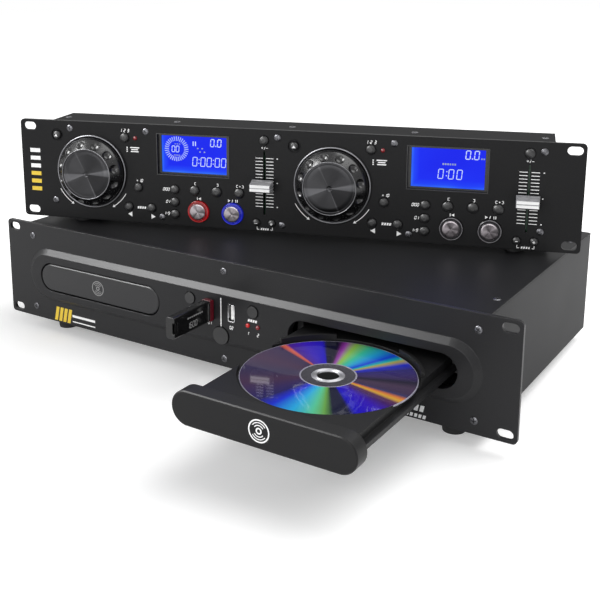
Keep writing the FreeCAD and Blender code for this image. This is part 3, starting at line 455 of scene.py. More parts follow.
def digits(text, x, z, tall, thick, slant=0.1, pitch=0.72):
    """Seven-segment figures from the left edge x, standing on z."""
    shapes = []
    wide = tall * 0.5
    for sign in text:
        if sign in ".:":
            for rise in ((0,) if sign == "." else (0.28, 0.72)):
                shapes.append(bar(x + slant * rise * tall, z + rise * tall + thick / 2,
                                  thick * 1.2, thick * 1.2))
            x += tall * 0.22
            continue
        for name in SEGMENTS[sign]:
            x1, z1, x2, z2 = LINES[name]
            start = Vector((x + wide * x1 + slant * tall * z1, z + tall * z1))
            end = Vector((x + wide * x2 + slant * tall * z2, z + tall * z2))
            along = (end - start).normalized()
            side = Vector((-along.y, along.x)) * thick / 2
            start += along * thick * 0.6
            end -= along * thick * 0.6
            nib = along * thick / 2
            shapes.append([tuple(point) for point in (
                start - nib, start - side, end - side, end + nib, end + side,
                start + side)])
        x += tall * pitch
    return shapes


print("a clock reading takes", len(digits("0:00:00", 0, 0, 8, 0.8)), "plates")

# %% [markdown]
# ## Printing ink
# The marks are screen-printed with a thick white, grey or yellow ink. It dries with a
# faint grain and is duller than the coat below.

# %% Inks
def ink(name, colour):
    dry, tree, place = start_finish(name)
    tone = mottle(tree, place, 0.3, colour, linear(colour, 0.95))[1]
    return end_finish(dry, {"Base Color": tone, "Roughness": 0.55})


white_ink = ink("white_screen_ink", "#ffffff")
grey_ink = ink("grey_screen_ink", "#8e8e8e")
yellow_ink = ink("yellow_screen_ink", "#f0cc34")
print("inks:", white_ink.name, grey_ink.name, yellow_ink.name)

# %% [markdown]
# ## Marks on the controller
# Each key has a small mark: a number, an arrow or a sign. Two bent arrows under each
# wheel show that it turns both ways, and a ladder of lines beside the fader's slot shows
# the pitch.

# %% Controller marks
JOG = (-173.5, 44.0)                     # the wheel's middle, x and z
ARROW_RADIUS = 36.2
FADER_X, LADDER_TOP, LADDER_STEP = -16.4, 63.6, 2.79
SLANT = 0.22


def deck_marks():
    """The printed shapes of the left deck."""
    shapes = []
    for side, start, end in ((-1, 209, 236), (1, -31, -58)):
        tip = on_circle(*JOG, ARROW_RADIUS, end)
        shapes += [arc(*JOG, ARROW_RADIUS, 0.55, start, end),
                   triangle(*tip, 1.5, end - 90 * side)]
    for text, x, z, tall, thick in (
            ("1", -146.3, 80.4, 2.6, 0.65), ("2", -142.9, 80.4, 2.6, 0.65),
            ("3", -139.5, 80.4, 2.6, 0.65), ("10", -129.7, 36.8, 2.5, 0.65),
            ("0:00", -107.6, 30.6, 2.5, 0.62), ("01", -105, 19.7, 2.5, 0.62),
            ("1-9", -107.2, 9.1, 2.5, 0.62)):
        shapes += digits(text, x, z, tall, thick, SLANT)
    for row, wide in enumerate((8.6, 6.2, 7.4)):
        shapes += [bar(-140, 67 - 1.75 * row, 1.1, 1.1),
                   bar(-133, 67 - 1.75 * row, wide, 0.95, SLANT)]
    shapes += plus(-131.3, 38, 1.5, 0.45) + bars(4, 2.1, -131, 13.8, 1.5, 2.1, SLANT)
    for x, z, size, towards in ((-138.4, 7.3, 2.6, 180), (-117.8, 6.3, 2.6, 0),
                                (-73.8, 25.1, 1.5, 180), (-48, 25, 1.5, 0)):
        shapes.append(triangle(x, z, size, towards))
    for x, z, side in ((-78.6, 38.1, 1), (-57.4, 38.1, -1), (-41, 37.9, 1),
                       (-35, 37.9, -1)):
        shapes += [bar(x, z, 0.5, 2.4), bar(x + 0.6 * side, z + 1, 1.3, 0.45),
                   bar(x + 0.6 * side, z - 1, 1.3, 0.45)]
    shapes += [dot(-38, 37.9, 0.6), bar(-76.3, 25.1, 0.6, 2.4)]
    shapes += [bar(-44.8, 25, 0.6, 2.4, SLANT)] + bars(2, 1.5, -41.8, 25, 0.7, 2.4)
    shapes += plus(-18.2, 72.5, 1.7, 0.45)
    shapes += [bar(-16.1, 72.3, 0.4, 2.4, 0.4), bar(-14.1, 72.3, 1.7, 0.45)]
    for row in range(16):
        shapes += bars(2, 9.3, -20.9, LADDER_TOP - LADDER_STEP * row, 6.4, 0.55)
    shapes += [bar(-5.2, z, 1.1, 0.8) for z in (LADDER_TOP, 42.7, 21.8)]
    for x, side in ((-22.8, 1), (-9.4, -1)):
        shapes += [bar(x, 2.7, 0.5, 2.4), bar(x + 0.8 * side, 1.6, 2, 0.5)]
    return shapes + bars(4, 1.9, -19, 2, 1.2, 1.7, SLANT)


for side, unit in DECKS.items():
    place_mesh(side + "_deck_print", plates(deck_marks()), unit, "controller", white_ink)
print("printed", len(deck_marks()), "marks on each deck")

# %% [markdown]
# In the place of a name the panel has a plain column of bars, yellow and then white,
# like the lamps of a level meter.

# %% Bars beside the rack slots
METER_X, METER_LOW, METER_PITCH = -228.4, 25.2, 7.0
for level, colour, first in (("low", yellow_ink, 0), ("high", white_ink, 3)):
    column = [bar(METER_X, METER_LOW + METER_PITCH * n, 9.6, 3.6)
              for n in range(first, first + 3)]
    place_mesh("meter_bars_" + level, plates(column), CONTROLLER, "controller", colour)
print("printed", 2 * len(column), "bars")

# %% [markdown]
# ## Displays
# A display is a glass cell with a blue lamp behind it. Light leaks in along the lamp's
# edges, so the glass is a little brighter there. The figures are clear spots in the cell,
# through which the lamp shows nearly white. They are thin plates just above the glass.

# %% Display materials
glass_blue, tree, place = start_finish("backlit_display_glass")
pane = add(tree, "SeparateXYZ", {0: add(tree, "TexCoord").outputs["UV"]})
to_edge = add(tree, "Math", {0: pane.outputs[0], 1: pane.outputs[1]}, operation="MINIMUM")
leak = add(tree, "ValToRGB", {"Fac": to_edge},
           stops=((0.0, "#3c8cff"), (0.07, "#1a50ff"), (0.2, "#0620f6"), (0.6, "#0418f0")))
tint = mottle(tree, place, 24, leak, "#0a2cfa", 0.0)[1]
end_finish(glass_blue, {"Base Color": "#010208", "Roughness": 0.12,
                        "Specular IOR Level": 0.1, "Emission Color": tint,
                        "Emission Strength": 0.95})


def lit_figures(name, strength):
    """The clear spots of the cell, with light behind of some strength."""
    light, tree, place = start_finish(name)
    tint = mottle(tree, place, 9, "#9fbcff", "#e6efff")[1]
    return end_finish(light, {"Base Color": "#202a50", "Roughness": 0.3,
                              "Emission Color": tint, "Emission Strength": strength})


figure_light = lit_figures("lit_display_figures", 0.9)
faint_light = lit_figures("faint_display_figures", 0.42)
display_frame = moulded("display_frame_abs", "#0b0b0c", 0.4, 0.5, 0.01)
dress("displays", display_frame)
print("display finishes:", glass_blue.name, figure_light.name, faint_light.name)

# %% [markdown]
# The glass lies in the sunk floor of its frame. Its UV map counts from its left and lower
# edges, where the light leaks in. The left deck counts with a ring of 32 ticks and a
# clock, and the right deck, whose tray is open, shows a clock at rest.

# %% Display figures
GLASS_X, GLASS_Z, GLASS_WIDE, GLASS_TALL, GLASS_Y = -80, 62.6, 58.6, 32.4, 4.15
TICKS, LIP = 32, 0.7


def ring_of_ticks(x, z):
    shapes = []
    for n in range(TICKS):
        along = Vector(on_circle(0, 0, 1, 360 * n / TICKS))
        side = Vector((-along.y, along.x)) * 0.34
        inner, outer = Vector((x, z)) + along * 7, Vector((x, z)) + along * 10.8
        shapes.append([tuple(p) for p in (inner - side * 0.7, outer - side, outer + side,
                                          inner + side * 0.7)])
    return shapes


FIGURES = {
    "left": ring_of_ticks(-95.9, 67.1) + digits("00", -100.2, 64.4, 5.2, 0.6, 0.06)
    + bars(2, 2.1, -80.7, 72.3, 0.9, 3.9)
    + digits("0.0", -65.2, 70.5, 6.2, 0.8, 0.08, 0.78)
    + digits("0:00:00", -81.6, 52.9, 7.6, 0.7, 0.08, 0.74),
    "right": digits("0.0", -66.3, 70.8, 6.8, 0.8, 0.08, 0.78)
    + digits("0:00", -87.8, 53.9, 7.7, 0.7, 0.08, 0.86)}
FAINT = {
    "left": [bar(-76.6 + 2 * n, 68.3 - 3 * (n % 2), 1.3, 1.1) for n in range(4)]
    + bars(3, 2, -97.6, 61.6, 1.3, 0.9) + bars(3, 2, -97, 71.4, 1.1, 0.8),
    "right": bars(6, 1.9, -83.8, 65.9, 1.3, 1.5) + bars(2, 1.8, -53.6, 71.4, 1.2, 1.2)}
LIPS = ([bar(GLASS_X, z, 65.4, LIP) for z in (44.6, 80.4)]
        + [bar(GLASS_X + x, 62.5, LIP, 35.1) for x in (-32.4, 32.4)])
for side, unit in DECKS.items():
    glass = plates([bar(GLASS_X, GLASS_Z, GLASS_WIDE, GLASS_TALL)], GLASS_Y, 0.1)
    layer = glass.uv_layers.new(name="pane")
    for loop in glass.loops:
        spot = glass.vertices[loop.vertex_index].co
        layer.data[loop.index].uv = ((spot.x - GLASS_X + GLASS_WIDE / 2) / GLASS_TALL,
                                     (spot.z - GLASS_Z + GLASS_TALL / 2) / GLASS_TALL)
    for part, mesh, material in (
            ("display_glass", glass, glass_blue),
            ("window_lip", plates(LIPS, 0, 0.4), display_frame),
            ("display_figures", plates(FIGURES[side], GLASS_Y - 0.1), figure_light),
            ("display_marks", plates(FAINT[side], GLASS_Y - 0.1), faint_light)):
        place_mesh(f"{side}_{part}", mesh, unit, "controller", material)
print("the left display lights", len(FIGURES["left"]), "figures")

# %% [markdown]
# ## Spun metal
# The wheel's face and the caps of the round keys are turned on a lathe. The tool leaves
# fine rings, which spread a reflection across themselves: light gathers in bright rays
# that meet at the middle. An anisotropic metal, its grain running round the axis, shows
# just that. On top, a painted highlight, a brightness that varies round the axis, sharpens
# the wedges, as several small lamps would. The rings are drawn a third of a millimetre
# apart, four times as coarse as they are cut.

# %% Spun aluminium
TURN_WIDE = 0.02       # how wide a whole turn is on the UV map, which is in millimetres


def spun_metal(name, colour, roughness, grain, ring, rays):
    """Turned metal; rays are stops of painted highlight, a brightness once round the
    middle, from the left.
    """
    disc, tree, place = start_finish(name, "UV")
    tone = mottle(tree, place, ring / MM, colour, linear(colour, 1.25))[1]
    across = add(tree, "SeparateXYZ", {0: place})
    share = add(tree, "Math", {0: across, 1: 1 / TURN_WIDE, 2: 0.5},
                operation="MULTIPLY_ADD")
    painted_ray_tones = add(tree, "ValToRGB", {"Fac": share}, stops=rays)
    tone_and_painted_rays = add(tree, "VectorMath", {0: tone, 1: painted_ray_tones}, operation="MULTIPLY")
    round_grain = add(tree, "Tangent", direction_type="UV_MAP", uv_map="turning")
    return end_finish(disc, {"Base Color": tone_and_painted_rays, "Metallic": 1.0,
                             "Roughness": roughness, "Anisotropic": grain,
                             "Tangent": round_grain})


def wrap_round(mesh, centre):
    """A UV map with the angle round the centre across, and the radius in mm upward."""
    layer = mesh.uv_layers.new(name="turning")
    for face in mesh.polygons:
        middle = face.center - Vector(centre)
        base = math.atan2(middle.z, middle.x)
        for loop in face.loop_indices:
            spot = mesh.vertices[mesh.loops[loop].vertex_index].co - Vector(centre)
            radius = math.hypot(spot.x, spot.z)
            turn = math.atan2(spot.z, spot.x) if radius > 1e-6 else base
            turn = base + (turn - base + math.pi) % (2 * math.pi) - math.pi
            layer.data[loop].uv = (turn / (2 * math.pi) * TURN_WIDE, radius)


# Painted highlights: stops of brightness round the face and the caps that draw in their
# rays of light.
FACE_PAINTED_RAYS = ((0, "#b0b0b0"), (0.011, "#f0f0f0"), (0.061, "#ffffff"), (0.072, "#b4b4b4"),
             (0.278, "#b0b0b0"), (0.306, "#b0b0b0"), (0.314, "#ffffff"), (0.322, "#888888"),
             (0.417, "#808080"), (0.486, "#888888"), (0.494, "#dcdcdc"), (0.528, "#ffffff"),
             (0.544, "#a0a0a0"), (0.722, "#9c9c9c"), (0.814, "#a4a4a4"), (0.825, "#d6d6d6"),
             (0.833, "#acacac"), (1, "#b0b0b0"))
CAP_PAINTED_RAYS = ((0, "#ffffff"), (0.08, "#d0d0d0"), (0.14, "#8c8c8c"), (0.2, "#f4f4f4"),
            (0.3, "#ffffff"), (0.36, "#a0a0a0"), (0.45, "#e8e8e8"), (0.5, "#808080"),
            (0.56, "#9c9c9c"), (0.62, "#f0f0f0"), (0.75, "#ffffff"), (0.82, "#b0b0b0"),
            (0.9, "#ffffff"), (1, "#ffffff"))
face_metal = spun_metal("black_anodised_aluminium", "#4c4c4e", 0.3, 0.85, 0.35, FACE_PAINTED_RAYS)
cap_metal = spun_metal("clear_anodised_aluminium", "#8f898d", 0.28, 0.8, 0.3, CAP_PAINTED_RAYS)
print("spun finishes:", face_metal.name, cap_metal.name)

# %% [markdown]
# The wheel's face is a thin disc let into the wheel, with a shallow groove near its rim
# and a small centre mark from the tool.

# %% Wheel faces
HUB = (JOG[0], 0, JOG[1])
FACE_SEAT, FACE_TOP, FACE_RADIUS = 12.3, 13.92, 21.65
FACE = ([(0, FACE_SEAT), (FACE_RADIUS, FACE_SEAT), (FACE_RADIUS, FACE_TOP - 0.1),
         (FACE_RADIUS - 0.25, FACE_TOP), (20.4, FACE_TOP), (20.1, FACE_TOP),
         (19.9, FACE_TOP - 0.08)]
        + [(radius, FACE_TOP) for radius in (19.7, 16, 12, 8, 4, 2.4)]
        + [(2.1, FACE_TOP - 0.25), (1.2, FACE_TOP - 0.35), (0, FACE_TOP - 0.35)])


def spun_disc(name, profile, centre, sides, unit, body, material):
    mesh = turned(profile, centre, sides, 35)
    wrap_round(mesh, centre)
    place_mesh(name, mesh, unit, body, material)


for side, unit in DECKS.items():
    spun_disc(side + "_wheel_face", FACE, HUB, 96, unit, side + "_deck_jog_wheel",
              face_metal)
print("wheel faces are", 2 * FACE_RADIUS, "mm across")

# %% [markdown]
# ## The wheel
# The wheel is turned too, and then twelve finger dimples are sunk into its slope with
# round cutters. It stands for the frame's wheel, with wider dimples. A grey ring trims
# the collar round it, and a thinner one the edge of its face.

# %% Wheels
SLOPE_OUT, SLOPE_LOW, SLOPE_IN, SLOPE_HIGH = 28.6, 8.2, 22.5, 14.3
DIMPLES, DIMPLE_TURN, CUTTER, CUTTER_OUT = 12, 12, 5.2, 2.3
WHEEL = [(0, -8), (3, -8), (3, 0.8), (30.4, 0.8), (30.4, 5), (SLOPE_OUT, SLOPE_LOW),
         (SLOPE_IN, SLOPE_HIGH), (21.8, SLOPE_HIGH), (21.8, FACE_SEAT), (0, FACE_SEAT)]
TRIMS = {
    "collar_trim": [(31.2, 2.5), (31.4, 2.85), (31.85, 3.0), (32.3, 2.85), (32.5, 2.5)],
    "face_trim": [(21.82, 14.25), (21.9, 14.4), (22.2, 14.42), (22.4, 14.25)]}


def carved(mesh, cutters, crossing=False):
    """A mesh less its cutters, which may cross each other."""
    whole, cutter = put("whole", mesh), put("cutter", to_mesh(cutters))
    carve = whole.modifiers.new("carve", "BOOLEAN")
    carve.object, carve.use_self = cutter, crossing
    bpy.context.view_layer.update()
    done = whole.evaluated_get(bpy.context.evaluated_depsgraph_get())
    mesh = bpy.data.meshes.new_from_object(done)
    for item in (whole, cutter):
        bpy.data.objects.remove(item)
    return mesh


def wheel_mesh():
    """The turned wheel less the dimples of its slope."""
    cutters = bmesh.new()
    out = (SLOPE_OUT + SLOPE_IN) / 2 + CUTTER_OUT
    up = (SLOPE_LOW + SLOPE_HIGH) / 2 + CUTTER_OUT
    for n in range(DIMPLES):
        x, z = on_circle(*JOG, out, DIMPLE_TURN + 360 * n / DIMPLES)
        bmesh.ops.create_uvsphere(cutters, u_segments=32, v_segments=20, radius=CUTTER,
                                  matrix=Matrix.Translation((x, -up, z)))
    return smooth(carved(turned(WHEEL, HUB, 96), cutters), 30)


for side, unit in DECKS.items():
    node = side + "_deck_jog_wheel"
    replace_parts(place_mesh(side + "_wheel", wheel_mesh(), unit, node, wheel_abs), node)
    for trim, body, slot in (("collar_trim", "controller", "panel_coat"),
                             ("face_trim", node, "wheel_plastic")):
        place_mesh(f"{side}_{trim}", turned(TRIMS[trim], HUB, 96, 60), unit, body,
                   trim_metal)
print("each wheel has", DIMPLES, "dimples")

# %% [markdown]
# ## Dots between the dimples
# Three small dots stand between each pair of finger dimples, moulded on the slope of
# the wheel. They are shallow domes set square to the slope.

# %% Wheel dots
DOTS = ((26.5, -0.035), (25.0, 0), (28.0, 0.035))  # radius, and radians off the middle


def wheel_dots():
    shape = bmesh.new()
    lean = math.atan2(SLOPE_HIGH - SLOPE_LOW, SLOPE_OUT - SLOPE_IN)
    for n in range(DIMPLES):
        for radius, off in DOTS:
            degrees = DIMPLE_TURN + 360 * (n + 0.5) / DIMPLES + math.degrees(off)
            x, z = on_circle(*JOG, radius, degrees)
            height = SLOPE_LOW + (SLOPE_OUT - radius) * math.tan(lean)
            out_x, out_z = on_circle(0, 0, math.sin(lean), degrees)
            square = Vector((out_x, -math.cos(lean), out_z)).to_track_quat("Z", "Y")
            bmesh.ops.create_icosphere(shape, subdivisions=1, radius=0.42,
                                       matrix=Matrix.Translation((x, -height, z))
                                       @ square.to_matrix().to_4x4()
                                       @ Matrix.Diagonal((1, 1, 0.5, 1)))
    return smooth(to_mesh(shape), 80)


for side, unit in DECKS.items():
    place_mesh(side + "_wheel_dots", wheel_dots(), unit, side + "_deck_jog_wheel",
               frame_abs)
print("each wheel has", len(DOTS) * DIMPLES, "dots")

# %% [markdown]
# ## Lit keys
# The cue and play keys are clear acrylic rings with a lamp behind, round a metal cap.
# A lit ring glows in its own colour, strongest where the plastic is thick. An unlit one
# is clear and shows its polished rim, painted in as a pale colour and a faint painted glow.

# %% Acrylic rings
def acrylic(name, colour, glow, strength):
    """Clear plastic: its colour, and the colour and strength of its glow, lamp light in the
    lit keys and a painted glow in unlit ones.
    """
    plastic, tree, place = start_finish(name)
    tone = mottle(tree, place, 5, glow, linear(glow, 0.45), 1.0)[1]
    return end_finish(plastic, {"Base Color": colour, "Roughness": 0.08, "IOR": 1.49,
                                "Emission Color": tone,
                                "Emission Strength": strength}, 0.4)


# The clear, unlit ring and rim have a faint painted glow, and the rim's pale colour paints
# its highlight.
RINGS = {"red_lens": acrylic("lit_red_acrylic", "#420306", "#a80a12", 0.45),
         "blue_lens": acrylic("lit_blue_acrylic", "#050940", "#1a26c8", 0.6),
         "clear_lens": acrylic("clear_acrylic", "#262528", "#1c1a1c", 0.2)}
EDGES = {"red_lens": acrylic("red_acrylic_edge", "#6a0508", "#e0141e", 0.6),
         "blue_lens": acrylic("blue_acrylic_edge", "#060b60", "#2230f0", 0.75),
         "clear_lens": acrylic("clear_acrylic_edge_painted_glow", "#8a888c", "#3a383c", 0.3)}
for node, slot in slot_of.items():
    if slot in RINGS:
        dress(node, RINGS[slot])
print("acrylics:", len(RINGS) + len(EDGES))

# %% [markdown]
# Each key gets three turned parts: a spun cap, the raised lip of its ring, and a collar
# of the same plastic that grips the cap.

# %% Caps, rims and collars
ROUND_KEYS, ROUND_KEYS_Z = {"cue": -75.2, "play": -44.6}, 13.8
LENS, CAP = 2.2, 3.4                     # how far the ring and the cap stand out
CAP_SHAPE = ([(0, CAP - 0.5), (6.85, CAP - 0.5), (6.85, CAP + 0.04)]
             + [(radius, CAP + 0.16) for radius in (6.65, 5.6, 4, 2.5, 1.2)]
             + [(0.5, CAP + 0.1), (0, CAP + 0.1)])
RIM_SHAPE = [(8.7, LENS), (9.1, LENS + 0.12), (9.25, LENS + 0.05), (9.3, LENS - 0.2),
             (9.0, LENS - 0.1)]
COLLAR_SHAPE = [(6.8, CAP - 0.3), (6.85, CAP + 0.08), (7.1, CAP + 0.08), (7.29, CAP - 0.1),
                (7.39, LENS - 0.1), (6.94, LENS - 0.1)]
for side, unit in DECKS.items():
    for key, x in ROUND_KEYS.items():
        node = f"{side}_deck_{key}_key"
        slot, centre = slot_of[node], (x, 0, ROUND_KEYS_Z)
        spun_disc(f"{side}_{key}_cap", CAP_SHAPE, centre, 48, unit, node, cap_metal)
        place_mesh(f"{side}_{key}_rim", turned(RIM_SHAPE, centre, 48, 60), unit, node,
                   EDGES[slot])
        place_mesh(f"{side}_{key}_collar", turned(COLLAR_SHAPE, centre, 48, 50), unit, node,
                   RINGS[slot])
print("round keys on each deck:", ", ".join(ROUND_KEYS))

# %% [markdown]
# ## Marks on the keys
# Each deck's eject key carries a white triangle, and the two small keys under the fader a
# minus and a plus. The marks ride on their keys.

# %% Key marks
KEY_MARKS = {"eject_key": [triangle(-206, 74.9, 1.7, 90)],
             "bend_down_key": [bar(-23.3, 7.5, 2.2, 0.55)],
             "bend_up_key": plus(-9.8, 7.5, 2.2, 0.55)}
for side, unit in DECKS.items():
    for key, shapes in KEY_MARKS.items():
        place_mesh(f"{side}_{key}_mark", plates(shapes, -2.7, 0.14), unit,
                   f"{side}_deck_{key}", white_ink)
print("marked", ", ".join(KEY_MARKS))

# %% [markdown]
# ## Pitch faders
# The grip is ABS with a pale silver paint, fine flakes of aluminium in a clear lacquer.
# The flakes make it part metal, so it is bright where light falls on it and also takes
# a soft reflection. Faint lines along its length come from the mould. Both halves of its
# front carry white plates: a painted highlight of the bright reflection on its face.

# %% Silver grips
HAIR, HAIR_LONG = 0.6, 14                # the lines' spacing and length in millimetres
silver_paint, tree, place = start_finish("silver_flake_paint")
drawn = add(tree, "Mapping", {"Vector": place, "Rotation": (0, 0, -TURN),
                              "Scale": (HAIR / HAIR_LONG, HAIR / HAIR_LONG, 1)})
hairs, tone = mottle(tree, drawn, HAIR, "#9a9a9d", "#b4b4b7")
wear = add(tree, "MapRange", {"Value": hairs, "To Min": 0.22, "To Max": 0.32})
end_finish(silver_paint, {"Base Color": tone, "Metallic": 0.35,
                          "Roughness": wear}, 0.3)
for side, unit in DECKS.items():
    node = side + "_deck_pitch_fader"
    dress(node, silver_paint)
    # White plates on the grip's front: a painted highlight of its bright reflection.
    painted_sheen_halves = [bar(FADER_X, 41 + half * 1.6, 16.8, 2.3) for half in (-1, 1)]
    place_mesh(side + "_fader_front_painted_sheen", plates(painted_sheen_halves, -16, 0.08), unit, node, white_ink)
print("made", silver_paint.name)

# %% [markdown]
# ## Marks on the transport
# A fine line divides the two decks. Each port and lamp has a small number. Under the left
# tray stands a short row of yellow and white bars where a maker would print a name.

# %% Transport marks
BAND_FACE = -4.0
band_marks = [bar(0, 47.4, 0.9, 23.6), triangle(-30.6, 45.4, 1.4, 90),
              bar(-30.6, 44.1, 2.4, 0.5)] + bars(4, 2.2, 26.6, 46.2, 1.7, 2.1, SLANT)
for text, x, z, slant in (("01", -12.6, 35.2, 0.1), ("02", 8.4, 35.2, 0.1),
                          ("1", 24.8, 34.2, SLANT), ("2", 34.2, 34.2, SLANT)):
    band_marks += digits(text, x, z, 2.5, 0.65, slant)
low_rules = ([bar(-152.4, 9, 27, 2.2), bar(-152.4, 3.8, 27, 1.1)]
             + bars(5, 4.3, 154.4, 8.6, 3, 4.8, SLANT)
             + bars(7, 3.3, 153.8, 2.6, 2.2, 2.8, SLANT))
for name, shapes, y, colour in (
        ("band_print", band_marks, BAND_FACE, white_ink),
        ("low_bars_yellow", bars(4, 5.1, -184.6, 7.9, 3.6, 13, SLANT), 0, yellow_ink),
        ("low_rules_white", low_rules, 0, white_ink)):
    place_mesh(name, plates(shapes, y), TRANSPORT, "transport", colour)
print("printed the transport")

# %% [markdown]
# Each tray has a plain sign of a disc at the front of its bezel: a rim, two broken tracks
# and a hub. It is smaller and greyer on the left one. The signs ride on the trays.

# %% Tray signs
TRAY_APART, SIGN_Z = 130.3, 42.4


def disc_sign(x, z, size):
    tracks = [arc(x, z, share * size, 0.09 * size, start, start + 110)
              for share in (0.76, 0.52) for start in (35, 215)]
    return [arc(x, z, size, 0.13 * size, 0, 360, 40),
            arc(x, z, 0.24 * size, 0.14 * size, 0, 360, 16)] + tracks


for side, x, size, colour in (("left", -TRAY_APART, 6.2, grey_ink),
                              ("right", TRAY_APART, 7.2, white_ink)):
    tray = side + "_tray"
    sign = plates(disc_sign(x, SIGN_Z, size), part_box(tray)[0].y / MM, 0.01)
    place_mesh(tray + "_sign", sign, TRANSPORT, tray, colour)
print("signs on both trays")

# %% [markdown]
# ## Lamps
# Small red lamps stand in the panels. Each is a dome of cast red epoxy. One is lit, and
# the others are unlit and get a faint painted glow.

# %% Lamps
def epoxy(name, colour, strength):
    """Cast red resin that glows: lamp light in the lit lamp, a painted glow in the unlit
    ones.
    """
    resin, tree, place = start_finish(name)
    tone = mottle(tree, place, 1.2, colour, linear(colour, 0.6))[1]
    return end_finish(resin, {"Base Color": tone, "Roughness": 0.1, "IOR": 1.55,
                              "Emission Color": tone, "Emission Strength": strength})


def lamp(name, x, y, z, radius, unit, body, finish):
    profile = [(0, -0.2), (radius, -0.2), (radius, 0.4), (radius * 0.92, 0.9),
               (radius * 0.7, 1.4), (radius * 0.38, 1.7), (0, 1.8)]
    place_mesh(name, turned(profile, (x, y, z), 20, 60), unit, body, finish)


lit_epoxy = epoxy("lit_red_epoxy", "#c01010", 0.4)
# The unlit lamps glow faintly: a painted glow, though nothing lights them.
unlit_epoxy_painted_glow = epoxy("unlit_red_epoxy_painted_glow", "#801018", 0.25)
for n, x in enumerate((-34.95, -25.65, 25.65, 34.95), 1):
    lamp(f"transport_lamp_{n}", x, BAND_FACE, 41.8, 1.75, TRANSPORT, "transport",
         lit_epoxy if n == 3 else unlit_epoxy_painted_glow)
for side, unit in DECKS.items():
    lamp(side + "_deck_lamp", -132.2, 0, 75.4, 1.8, unit, "controller", unlit_epoxy_painted_glow)
print("six lamps")

# %% [markdown]
# ## Cross-head screws
# The screws that hold the panels have a low domed head with a cross pressed into it. One
# head is made with a boolean, and every screw of a unit is a copy of it, joined into one
# piece that stands for the plain cones of the frame.

# %% Screws
HEAD = [(0, -1.2), (1.6, -1.2), (2.85, 0), (2.8, 0.22), (2.3, 0.55), (1.5, 0.78),
        (0.7, 0.86), (0, 0.88)]
cross = bmesh.new()
for wide, tall in ((0.7, 3.5), (3.5, 0.7)):
    bmesh.ops.create_cube(cross, size=1, matrix=Matrix.Translation((0, -0.5, 0))
                          @ Matrix.Diagonal((wide, 1.5, tall, 1)))
head_mesh = carved(turned(HEAD, (0, 0, 0), 32), cross, crossing=True)
UP = Matrix.Rotation(math.radians(-90), 4, "X")


def screws(unit_name, unit, front_places, top_places):
    """A unit's heads in one piece; places are (x, y, z, turn in degrees)."""
    shape = bmesh.new()
    for places, aim in ((front_places, Matrix.Identity(4)), (top_places, UP)):
        for x, y, z, turn in places:
            copy = head_mesh.copy()
            copy.transform(Matrix.Translation((x, y, z)) @ aim
                           @ Matrix.Rotation(math.radians(turn), 4, "Y"))
            shape.from_mesh(copy)
    piece = place_mesh(unit_name + "_cross_screws", smooth(to_mesh(shape), 40), unit,
                       unit_name, zinc)
    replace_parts(piece, unit_name + "_screws")
    print(unit_name, "has", len(front_places + top_places), "screws")


PANEL = [(-210.4, 9.9), (-210.4, 76.3), (210.4, 9.9), (210.4, 76.3), (0, 6.8), (0, 80.1)]
screws("transport", TRANSPORT, [(x, 0, z, 25 + 31 * n) for n, (x, z) in enumerate(PANEL)],
       [(x, y, 87.5, 17 + y) for x in (-210, 210) for y in (34.6, 205)])
DECK_EDGE = [(-193.7, 81.5), (-122.5, 81.5), (-5, 81.5), (92.5, 81.5), (-109, 6.3),
             (-1, 6.3), (106, 6.3), (-210.2, 15.8), (209.8, 15.8), (209.8, 80.5)]
screws("controller", CONTROLLER,
       [(x, 0, z, 12 + 37 * n) for n, (x, z) in enumerate(DECK_EDGE)],
       [(105 * step, 32, 85.5, 40 * step) for step in range(-2, 3)])

# %% [markdown]
# ## The disc
# A disc is clear polycarbonate over a mirror. Its spiral of pits, 1.6 thousandths of a
# millimetre apart, splits white light, so a strong lamp draws wedges of pure colour that
# meet at the hub. Here the wedges are painted into the colour by angle, a painted rainbow
# reflection, and the mirror between them has a dusky violet tint. One colour ramp holds
# at most 32 stops, so two of them share the turn.

# %% Disc material
disc_low, disc_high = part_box("disc")
DISC_CENTRE = (disc_low + disc_high) / 2
FAR_FROM = 0.7                           # the share of a turn where the second ramp starts
# Stops round the disc: its dusky violet tint and painted rainbow reflections of a lamp.
DISC_TINT_AND_PAINTED_RAINBOWS = ((0.0, "#3b2c4e"), (0.03, "#46344f"), (0.055, "#1c1830"), (0.075, "#38295c"),
          (0.115, "#2b2370"), (0.14, "#1d2cc8"), (0.158, "#b8a63c"), (0.168, "#20b8b0"),
          (0.185, "#1c3ee0"), (0.215, "#28a8dc"), (0.245, "#40c8a0"), (0.275, "#98cc50"),
          (0.295, "#a03fb0"), (0.31, "#1b1a30"), (0.337, "#1a1a34"), (0.345, "#2414c8"),
          (0.38, "#3c1fc0"), (0.415, "#4c2290"), (0.421, "#e06a50"), (0.428, "#c4584c"),
          (0.434, "#3c2f55"), (0.5, "#4a3350"), (0.56, "#3a3456"), (0.62, "#4b3550"),
          (0.7, "#2d2a66"))
DISC_TINT_AND_PAINTED_RAINBOWS_FAR = ((0.0, "#2d2a66"), (0.03, "#2436d8"), (0.07, "#30b0e8"), (0.105, "#58cc9c"),
              (0.125, "#6aa84c"), (0.14, "#161a34"), (0.17, "#181a38"), (0.18, "#1c12c0"),
              (0.22, "#381cb8"), (0.245, "#44246c"), (0.262, "#5a3050"), (0.272, "#d8a838"),
              (0.282, "#d87838"), (0.292, "#3a3560"), (0.4, "#3b2c4e"))

